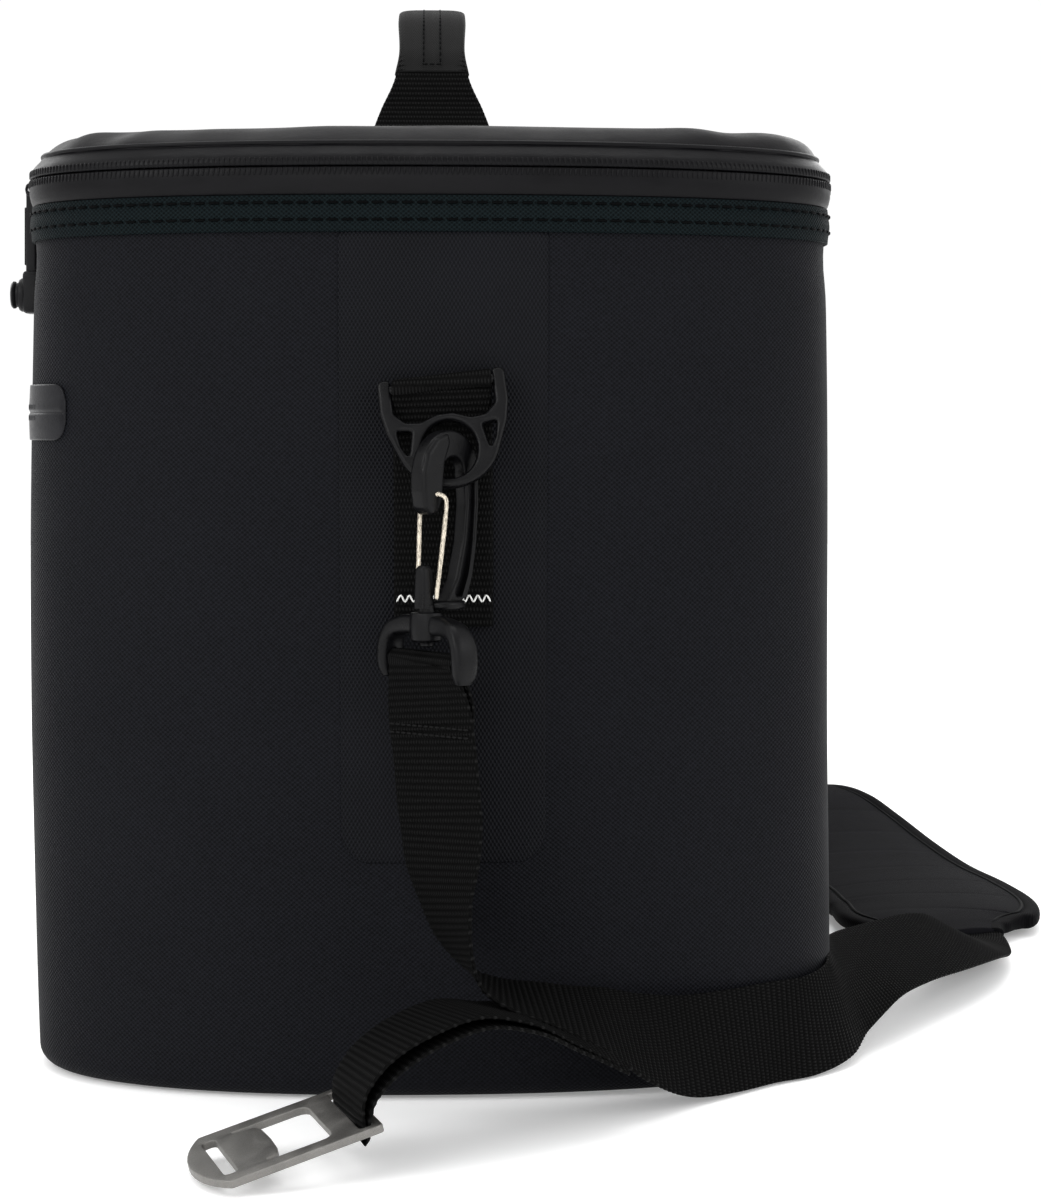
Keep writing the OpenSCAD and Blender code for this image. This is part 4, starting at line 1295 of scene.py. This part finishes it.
MAIN_ZIP_Z = joint_place("main_puller_flip")[0][2]
finish_piece(slider("main_slider_body", "main_slider", "main_slider_pin", MAIN_ZIP_Z),
             "slider", "main_slider", "slider_metal", "main_slider")
finish_piece(pin("main_pin", "main_slider_pin"), "pin", "main_slider", "pin_steel", "main_slider_pin")
finish_piece(main_puller(), "puller", "main_puller", "puller_plastic", "main_puller")
finish_piece(slider("pocket_slider_body", "pocket_slider", "pocket_slider_pin", POCKET_Z),
             "slider", "pocket_slider", "slider_metal", "pocket_slider")
finish_piece(pin("pocket_pin", "pocket_slider_pin"), "pin", "pocket_slider", "pin_steel", "pocket_slider_pin")
finish_piece(pocket_puller(), "puller", "pocket_puller", "puller_plastic", "pocket_puller")

# ---------------------------------------------------------------- ring, hook, gate and swivel

# An upright plane: x of the drawing along X, and y of the drawing along Z
UPRIGHT = Matrix.Rotation(math.radians(90), 3, "X")
RING_TURN = (Matrix.Rotation(math.radians(-RING_TILT), 3, "Y") @ Matrix.Rotation(math.radians(-RING_LEAN), 3, "X"))
HOOK_AT = joint_place("hook_near_swivel")[0]
HOOK_YAW = 46.5
HOOK_TURN = Matrix.Rotation(math.radians(HOOK_YAW), 3, "Z")


def mirrored_pairs(right):
    """Outline from its right half, listed from the top middle down to the bottom middle."""
    return right + [(-x, y, r) for x, y, r in right[::-1]]


def ring(name):
    """Moulded ring: rounded members of even width, a wavy cross piece, two windows and an oval hole."""
    lower = [(19.6 * math.cos(math.radians(a)), -20.6 + 19.6 * math.sin(math.radians(a)), 1.0)
             for a in np.linspace(-18, -86, 9)]
    right = [(3, -11.7, 3), (9.5, -14.2, 4), (15, -13.6, 3), (19.0, -9.6, 3), (18.9, 3.8, 1.8), (23.9, 3.8, 3.6),
             (24.0, -9, 8), (22.4, -17, 8)] + lower
    outline = rounded(mirrored_pairs(right), 5)
    hole = ellipse(0, -25.6, 10.3, 11.2, 56)
    windows = [rounded([(s * 13.0, -17.2, 1.2), (s * 18.8, -16.4, 1.2), (s * 17.6, -22.5, 1.6),
                        (s * 15.2, -27.5, 1.4)], 4) for s in (-1, 1)]
    frame_part = plate(name + "_frame", [outline, hole] + windows, 4.9, 1.35,
                       mm_matrix(BAR, RING_TURN @ UPRIGHT), steps=4)
    bar_turn = RING_TURN @ Matrix.Rotation(math.radians(90), 3, "Y")
    bar = turned(name + "_bar", [(1.6, -20.4), (BAR_R, -20), (BAR_R, 20), (1.6, 20.4)], mm_matrix(BAR, bar_turn), 28)
    return join(name, frame_part, bar)


def hook_outline(inset=0.0):
    """Side view of the hook in its own plane: base, spine, bow and nose. inset draws its web smaller."""
    cx, cz, r_out, r_in = 10.2, 236.0, 15.2 - inset, 5.8 + inset
    outer = [(15.5 - inset, 186, 2), (20.2 - inset, 197, 8), (23.6 - inset, 210, 12), (25.0 - inset, 224, 12)]
    outer += [(cx + r_out * math.cos(math.radians(a)), cz + r_out * math.sin(math.radians(a)), 1.5)
              for a in np.linspace(0, 180, 25)]
    nose = [(-5.1 + inset, 229, 5), (-4.1 + inset, 223.4, 3), (-0.7, 220.6 + inset, 2.2), (2.8, 221.6 + inset, 2),
            (4.9 - inset, 226.4, 3), (5.5 - inset, 231, 3)]
    inner = [(11.6 + r_in * math.cos(math.radians(a)), 235.6 + r_in * math.sin(math.radians(a)), 0.8)
             for a in np.linspace(176, 0, 22)]
    spine = [(18.3 + inset, 224, 10), (16.8 + inset, 210, 10), (13.2 + inset, 197, 8), (8.4 + inset, 189, 3),
             (8.4 + inset, 186, 0.5)]
    return rounded(outer + nose + inner + spine, 4)


def spine_web():
    """The part of the side view that is only a thin web between the flanges."""
    return rounded([(12.6, 190.2, 1.5), (17.3, 190.6, 1.5), (20.1, 198, 8), (22.2, 210, 10), (23.3, 224, 10),
                    (23.3, 236, 2), (20.0, 236, 2), (19.9, 224, 10), (18.4, 210, 10), (14.9, 197, 6)], 5)


def oval(name, centre, half_x, half_y, thick, bevel, turn):
    """Flat oval plate with rounded edges."""
    return plate(name, [ellipse(0, 0, half_x, half_y, 48)], thick, bevel, mm_matrix(centre, turn))


def hook_place(x, y, z):
    """Point at x and y from the hook's own axis and at height z."""
    return HOOK_TURN @ Vector((x, y, 0)) + Vector((*HOOK_AT[:2], z))


def hook(name):
    """Snap hook: I-section spine, broad bow and nose, base with a flange, and a post for the gate."""
    origin = (HOOK_AT[0], HOOK_AT[1], 0)
    plane = mm_matrix(origin, HOOK_TURN @ UPRIGHT)
    flanges = plate(name + "_flanges", [hook_outline(), spine_web()], 6.0, 1.2, plane, steps=4)
    web = plate(name + "_web", [hook_outline(0.7)], 2.0, 0.3, plane)
    nose_shape = rounded([(-5.2, 229, 5), (-4.2, 223.4, 3), (-0.8, 220.2, 2.4), (3.0, 221.4, 2.4), (5.2, 226.4, 3),
                          (5.8, 233, 3), (6.6, 240, 3), (9.5, 246.5, 3), (8.5, 250.6, 2), (2, 248.6, 4),
                          (-3.2, 243, 5), (-5.2, 236, 6)], 6)
    nose = plate(name + "_nose", [nose_shape], 8.0, 1.9, plane, steps=4)
    base = oval(name + "_base", hook_place(9, -1.5, 187.3), 8, 6.2, 3.0, 1.1, HOOK_TURN)
    post_sizes = ((186.5, 6.6, 5.6), (190, 6.2, 5.4), (197, 5.8, 5.2), (200.6, 5.2, 4.6), (202, 3.4, 3.0))
    post = band(name + "_post", [[*hook_place(-1.2, 0.2, z), *(HOOK_TURN @ Vector((1, 0, 0))), w, t]
                                 for z, w, t in post_sizes], step=0.6, power=4, count=24)
    stem = turned(name + "_stem", [(1.6, 172.4), (2.5, 172.9), (2.6, 173.8), (2.2, 174.4), (2.2, 176.2),
                                   (2.95, 176.4), (2.95, 187.6), (2.0, 187.9)],
                  mm_matrix(origin, Matrix.Identity(3)), 32)
    return join(name, flanges, web, nose, base, post, stem)


def gate(name):
    """Sprung wire gate: two legs from the base, closed by a cross piece through the nose."""
    points = [(1.6, -3.4, 189.4), (1.4, -3.9, 193), (2.0, -4.6, 200), (3.2, -5.7, 214), (3.9, -6.2, 224),
              (3.4, -5.9, 226.8), (2.0, -4.6, 227.9), (0.8, -2.6, 227.8), (0.6, 0, 227.5), (0.8, 2.2, 226.8),
              (1.0, 3.6, 225.2), (0.9, 4.1, 222), (0.3, 3.9, 214), (-0.6, 3.4, 204), (-1.2, 3.0, 199),
              (-1.4, 2.8, 196.5)]
    return tube(name, [list(hook_place(*p)) for p in points], 0.9, step=0.5, sides=14)


SWIVEL_BAR = np.array([-2.0, -257.2, 167.0])
SWIVEL_YAW = 52.0
SWIVEL_TURN = Matrix.Rotation(math.radians(-SWIVEL_YAW), 3, "Z")


def swivel_place(x, y, z):
    """Point at x and y from the swivel's own axis and at height z."""
    return list(SWIVEL_TURN @ Vector((x, y, 0)) + Vector((*SWIVEL_BAR[:2], z)))


def swivel(name):
    """Swivel: a barrel for the hook's stem, two arms that curl down past the strap, and the strap's bar."""
    barrel = turned(name + "_barrel", [(2.95, 174.4), (5.0, 174.4), (5.9, 175.2), (6.2, 179), (6.2, 183.0),
                                       (5.8, 184.9), (3.1, 185.1), (3.05, 184), (3.05, 175.5)],
                    mm_matrix((*SWIVEL_BAR[:2], 0), Matrix.Identity(3)), 44)
    arms = []
    depth = list(SWIVEL_TURN @ Vector((0, 1, 0)))
    for n, side in enumerate((-1, 1)):
        path = [(3.9, 180.2, 6.4, 7.6), (8, 180.4, 6.8, 7.2), (13, 180.0, 7.8, 6.8), (18, 178.4, 9.4, 6.2),
                (21.3, 174.0, 10.6, 5.6), (22.2, 168, 10.8, 5.2), (21.9, 163.5, 9.8, 4.8), (21.2, 160.6, 7.0, 3.6)]
        stations = [[*swivel_place(side * x, 0, z), *depth, w, t] for x, z, w, t in path]
        arms.append(band(f"{name}_arm_{n}", stations, step=0.5, power=3.0, count=30))
    bar_turn = SWIVEL_TURN @ Matrix.Rotation(math.radians(90), 3, "Y")
    bar = turned(name + "_bar", [(1.5, -21.6), (BAR_R, -21), (BAR_R, 21), (1.5, 21.6)],
                 mm_matrix(SWIVEL_BAR, bar_turn), 28)
    return join(name, barrel, bar, *arms)


for end, turn in ENDS:
    for make, paint, node, slot in ((ring, "plastic", "ring", "hardware_plastic"),
                                    (hook, "plastic", "hook", "hardware_plastic"),
                                    (gate, "wire", "gate", "wire")):
        piece = creased(about(make(f"{node}_part_{end}"), turn), 42)
        finish_piece(piece, paint, f"{node}_{end}", slot, f"{node}_{end}")
    piece = creased(about(swivel(f"swivel_part_{end}"), turn), 42)
    finish_piece(piece, "plastic", f"strap_end_{end}", "hardware_plastic", f"swivel_{end}")

# ---------------------------------------------------------------- strap

BAR_LOOP_R = BAR_R + 0.95


def bar_loop():
    """The strap's folded end: up behind the bar, over it and down in front."""
    c, s = math.cos(math.radians(SWIVEL_YAW)), math.sin(math.radians(SWIVEL_YAW))
    across = [c, -s, 0]
    out = [-s, -c]
    stations = []
    for depth, z in ((-2.4, 142), (-2.6, 152), (-3.2, 161)):
        a = [0.78, -0.62, 0] if z < 156 else across
        stations.append([SWIVEL_BAR[0] + out[0] * depth + 0.2, SWIVEL_BAR[1] + out[1] * depth, z, *a])
    for angle in range(180, -31, -30):
        r = math.radians(angle)
        d = BAR_LOOP_R * math.cos(r)
        stations.append([SWIVEL_BAR[0] + out[0] * d, SWIVEL_BAR[1] + out[1] * d,
                         SWIVEL_BAR[2] + BAR_LOOP_R * math.sin(r), *across])
    return stations


STRAP_TOP = [[-1.2, -257.9, 150, 0.78, -0.62, 0], [1, -257.6, 132, 0.8, -0.6, 0], [2.4, -257.6, 116, 0.8, -0.6, 0],
             [3.2, -257.8, 108, 0.78, -0.62, 0]]
NEAR_ROUTE = [
    [3.7, -258.7, 94, 0.7, -0.72, 0], [5, -260, 80, 0.5, -0.87, 0], [8.5, -261.3, 66, 0.36, -0.93, -0.05],
    [15.5, -262.3, 54, 0.2, -0.98, -0.05], [27, -262.8, 47, 0.08, -0.99, -0.08], [43, -261, 42.5, 0.02, -0.98, -0.18],
    [61, -257, 36, 0, -0.93, -0.36], [78, -247, 27, 0.02, -0.75, -0.66], [95, -235.5, 21, 0.04, -0.45, -0.89],
    [113, -223, 19.6, 0.05, -0.25, -0.96], [130, -210.5, 19.6, 0.05, -0.14, -0.99],
    [147.5, -199, 19.6, 0.08, -0.12, -0.99],
    [161, -183, 22, 0.2, -0.16, -0.96], [168.5, -161, 26.5, 0.38, -0.28, -0.86],
    [179.5, -136, 29, 0.64, -0.42, -0.64],
    [198, -106, 28, 0.7, -0.46, -0.54], [220, -75, 26, 0.7, -0.48, -0.53], [240, -40, 21, 0.8, -0.42, -0.43],
    [251, -8, 13, 0.9, -0.3, -0.3], [255, 14, 8.5, 0.96, -0.2, -0.15], [256, 30, 6.5, 0.98, -0.1, 0],
    [255, 44, 6.8, 0.98, 0, 0],
]
ADJUSTER = np.array([88.0, 352.0, 8.0])
ADJUSTER_TURN = math.radians(12)
ALONG = np.array([math.cos(ADJUSTER_TURN), math.sin(ADJUSTER_TURN), 0])
ACROSS = np.array([-math.sin(ADJUSTER_TURN), math.cos(ADJUSTER_TURN), 0])
FAR_ROUTE = [
    [-3.5, 258.8, 90, -0.8, 0.6, 0], [-3, 261, 68, -0.85, 0.52, 0], [-1, 265.5, 46, -0.9, 0.43, 0],
    [4, 275, 26, -0.93, 0.36, 0], [12, 292, 11, -0.9, 0.43, 0], [24, 312, 4.5, -0.8, 0.6, 0],
    [38, 328, 4.5, -0.6, 0.8, 0],
]
FAR_ROUTE += [[*(ADJUSTER + d * ALONG), *ACROSS] for d in (-40, -30, 0, 30, 40)]
FAR_ROUTE += [[140, 366, 5.5, -0.18, 0.98, 0], [166, 368, 5.5, 0.1, 1, 0], [190, 363, 12, 0.45, 0.89, 0],
              [206, 353, 24, 0.8, 0.6, 0], [213, 343, 33, 0.97, 0.2, 0], [213.5, 330, 32.4, 0.97, 0.1, 0]]


def far_half(stations):
    """Stations turned half a turn about the bag's middle."""
    return [[-s[0], -s[1], s[2], -s[3], -s[4], s[5]] for s in stations]


def strap(name, end, route):
    """One strap end: folded round the swivel's bar, then the free run."""
    top = bar_loop() + STRAP_TOP
    if end == "far":
        top = far_half(top)
    piece = band(name, top + route, STRAP_W, STRAP_T, rib=0.5, edge=0.15)
    finish_piece(piece, "webbing", None, "webbing", f"strap_end_{end}", f"strap_{end}_run")
    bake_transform(piece)
    return piece


strap("strap_near", "near", NEAR_ROUTE)
strap("strap_far", "far", FAR_ROUTE)


def sewn_line(name, turn):
    """Two rows of stitches that hold the folded end, across the strap."""
    parts = []
    for n, z in enumerate((143.5, 140.5)):
        a = np.array([0.79, -0.61, 0.0])
        out = np.array([-0.61, -0.79, 0.0])
        at = np.arange(-17, 17.1, 2.6)
        centre = np.array([-0.4, -257.75, z]) + a * at[:, None] + out * 1.25
        along, face = np.tile(a, (len(at), 1)), np.tile(out, (len(at), 1))
        parts.append(beads(f"line_{n}", centre, along, face, (2.0, 0.8, 0.6)))
    return about(join(name, *parts), turn)


for end, turn in ENDS:
    finish_piece(sewn_line(f"strap_stitch_{end}", turn), "dark_thread", f"strap_end_{end}", "webbing")

LOOP_ROUTE = [
    [-27.1, -311.1, 14.2, 0.31, -0.95, 0.04], [-28.7, -311.4, 21.6, 0.31, -0.95, 0.04],
    [-27, -310.6, 29, 0.31, -0.95, 0.04], [-19.5, -307.5, 38, 0.33, -0.94, 0.04], [-7, -302, 45, 0.37, -0.92, 0.04],
    [9, -294, 49, 0.42, -0.9, 0.04], [26, -284, 45, 0.4, -0.91, 0.02], [43, -272.5, 38.5, 0.2, -0.97, -0.12],
    [62, -261, 32.6, 0.03, -0.93, -0.36],
]


def opener_loop():
    """Doubled webbing: over the arch, through the opener's slot and back under itself."""
    route = np.array(LOOP_ROUTE)
    under = route[1:].copy()
    under[:, 0] += np.interp(np.arange(len(under)), [0, 1, 2, 7], [2.6, 3.4, 3.6, 2.0])
    under[:, 2] -= np.interp(np.arange(len(under)), [0, 1, 2, 4, 7], [0.6, 2.0, 3.4, 3.6, 2.6])
    return band("opener_webbing", np.concatenate([under[::-1], route]), STRAP_W, 1.3, rib=0.4)


finish_piece(opener_loop(), "webbing", "root", "webbing", "opener_loop")

# ---------------------------------------------------------------- bottle opener and strap adjuster

OPENER_AT = np.array([-27.9, -311.3, 17.9])
OPENER_TURN = (Matrix.Rotation(math.radians(18.1), 3, "Z") @ Matrix.Rotation(math.radians(-14.7), 3, "Y")
               @ Matrix.Rotation(math.radians(2.5), 3, "X"))


def opener():
    """Steel plate with a slot at each end and a mouth whose tongue lifts a cap."""
    half_w, edge, round_x = 23.0, 5.0, -46.0
    arc = [(round_x + 23.9 + 35.4 * math.cos(math.radians(a)), 35.4 * math.sin(math.radians(a)), 0.5)
           for a in np.linspace(139.5, 220.5, 15)]
    outline = rounded([(edge, -half_w, 1.6), (edge, half_w, 1.6), (*arc[0][:2], 1.6)] + arc[1:-1]
                      + [(*arc[-1][:2], 1.6)], 6)
    slot = box(-2.6, -20, 2.6, 20, 2, 5)
    end_slot = box(-49.4, -16.6, -44.6, 16.6, 2.2, 5)
    mouth = rounded([(-11, -17, 4.5), (-11, 17, 4.5), (-38.5, 17, 0.7), (-38.5, 15.7, 0.6), (-30.6, 14.6, 2),
                     (-29, 10, 6), (-28.6, 0, 10), (-29, -10, 6), (-30.6, -14.8, 2.5), (-34.8, -15.6, 0.6),
                     (-34.8, -17, 0.7)], 5)
    return plate("opener_plate", [outline, slot, end_slot, mouth], 2.8, 0.45, mm_matrix(OPENER_AT, OPENER_TURN))


finish_piece(opener(), "opener", "opener", "opener_steel", "bottle_opener")


def adjuster():
    """Moulded slide: two rounded side rails, end bars and a middle bar that the strap goes over."""
    turn = Matrix.Rotation(ADJUSTER_TURN, 3, "Z")
    low, high = node_box("strap_adjuster")
    parts = []
    for n, side in enumerate((-1, 1)):
        centre = turn @ Vector((0, side * 21.5, 0)) + Vector(ADJUSTER)
        parts.append(plate(f"rail_{n}", [box(-15, -1.6, 15, 1.6, 1.2)],
                           high[2] - low[2], 1.0, mm_matrix(centre, turn)))
    for n, (x, z, w) in enumerate(((0, -2.7, 6), (-12.5, 2.7, 5), (12.5, 2.7, 5))):
        centre = turn @ Vector((x, 0, z)) + Vector(ADJUSTER)
        stations = [[*(centre + turn @ Vector((0, y, 0))), *(turn @ Vector((1, 0, 0))), w, 2.5]
                    for y in (-21, -8, 8, 21)]
        parts.append(band(f"bar_{n}", stations, step=2.0, power=3.5, count=24))
    return join("adjuster_slide", *parts)


finish_piece(creased(adjuster(), 42), "plastic", "adjuster", "hardware_plastic", "strap_adjuster")

# ---------------------------------------------------------------- shoulder pad

PAD_W = 106
PAD_STEP = 1.6
PAD_ROUTE = [
    [256, 31, 6.5, 0.98, -0.1, 0, 42, 6], [251, 46, 7, 0.97, 0.1, 0, 66, 9], [249, 68, 7, 0.96, 0.2, 0, 94, 11],
    [254, 98, 7, 0.98, 0.1, 0, PAD_W, 12], [252, 142, 7, 0.98, 0.12, 0, PAD_W, 12],
    [243, 188, 8, 0.98, 0.2, 0, PAD_W, 12], [234, 236, 13, 0.98, 0.2, 0, PAD_W - 2, 12],
    [225, 282, 21, 0.99, 0.15, 0, 98, 12], [218, 312, 28, 1, 0.05, 0, 86, 11],
    [214, 330, 32, 1, 0.02, 0, 64, 9], [213, 342, 33.2, 0.98, 0, 0, 42, 6],
]


def pad():
    """Foam pad: crowned between its bound edges, pinched at each cross seam."""
    path, run, _, across, normal = swept(PAD_ROUTE, PAD_STEP)
    count = 44
    x, y = rounded_section(count, 2.7)
    end = np.minimum(run, run[-1] - run)
    channel = 1 - 0.035 * np.exp(-((((run + 18) % 37) - 18.5) / 2.2) ** 2) * (end > 12)
    crown_t = (path[:, 7] / 2 * channel)[:, None] * (0.42 + 0.66 * np.sqrt(np.clip(1 - np.abs(x) ** 2.4, 0, 1)))
    rows = (path[:, None, :3] + across[:, None, :] * (path[:, 6:7] / 2 * x)[:, :, None]
            + normal[:, None, :] * (crown_t * y * 1.06)[:, :, None])
    v = np.append(x, x[0])[None, :] * path[:, 6:7] / 2
    u = np.tile(run[:, None], (1, count + 1))
    return outward(grid("pad_body", rows, u, v, caps=True))


def pad_edges():
    """Binding tape folded over both long edges of the pad."""
    path, _, _, across, _ = swept(PAD_ROUTE, PAD_STEP)
    parts = []
    for n, side in enumerate((-1, 1)):
        edge = path[:, :3] + across * (side * (path[:, 6:7] / 2 - 4.4))
        stations = np.column_stack([edge, across, np.full(len(edge), 9.4), path[:, 7] * 0.5 + 2.0])
        parts.append(band(f"edge_{n}", stations[::3], step=1.6, power=2.6, count=22))
    return join("pad_binding", *parts)


def pad_seam_and_groove_shade():
    """Sewn line along the inner edge of the binding, on both faces: one black tube in the groove, for the stitches
    and the painted shade of the groove.
    """
    path, _, _, across, normal = swept(PAD_ROUTE, PAD_STEP)
    parts = []
    for n, (side, face) in enumerate(((-1, 1), (1, 1), (-1, -1), (1, -1))):
        line = path[:, :3] + across * (side * (path[:, 6:7] / 2 - 8.9)) + normal * (face * (path[:, 7:8] * 0.3 + 0.1))
        parts.append(tube(f"pad_row_{n}", line[4:-4:3], 0.85, step=1.2, sides=8))
    return join("pad_stitches_and_groove_shade", *parts)


shoulder_pad = pad()
finish_piece(shoulder_pad, "pad", "root", "pad_fabric", "shoulder_pad")
finish_piece(pad_edges(), "pad_edge", "root", "binding")
# The black tubes paint the shade in the groove beside the binding, as well as the stitches.
finish_piece(pad_seam_and_groove_shade(), "black_thread", "root", "pad_fabric")

# ---------------------------------------------------------------- CAD nodes that stay, floor and the end

for node, paint in (("base_board", "board"), ("pocket_lining", "liner")):
    kept = frame["nodes"][node]
    kept.data.materials.clear()
    kept.data.materials.append(PAINT[paint])

floor_mesh = bpy.data.meshes.new("floor")
floor_mesh.from_pydata([(-4, -4, 0), (4, -4, 0), (4, 4, 0), (-4, 4, 0)], [], [(0, 1, 2, 3)])
floor = link("floor", floor_mesh)
floor_mesh.materials.append(floor_paint())
floor.location.z = -0.0002
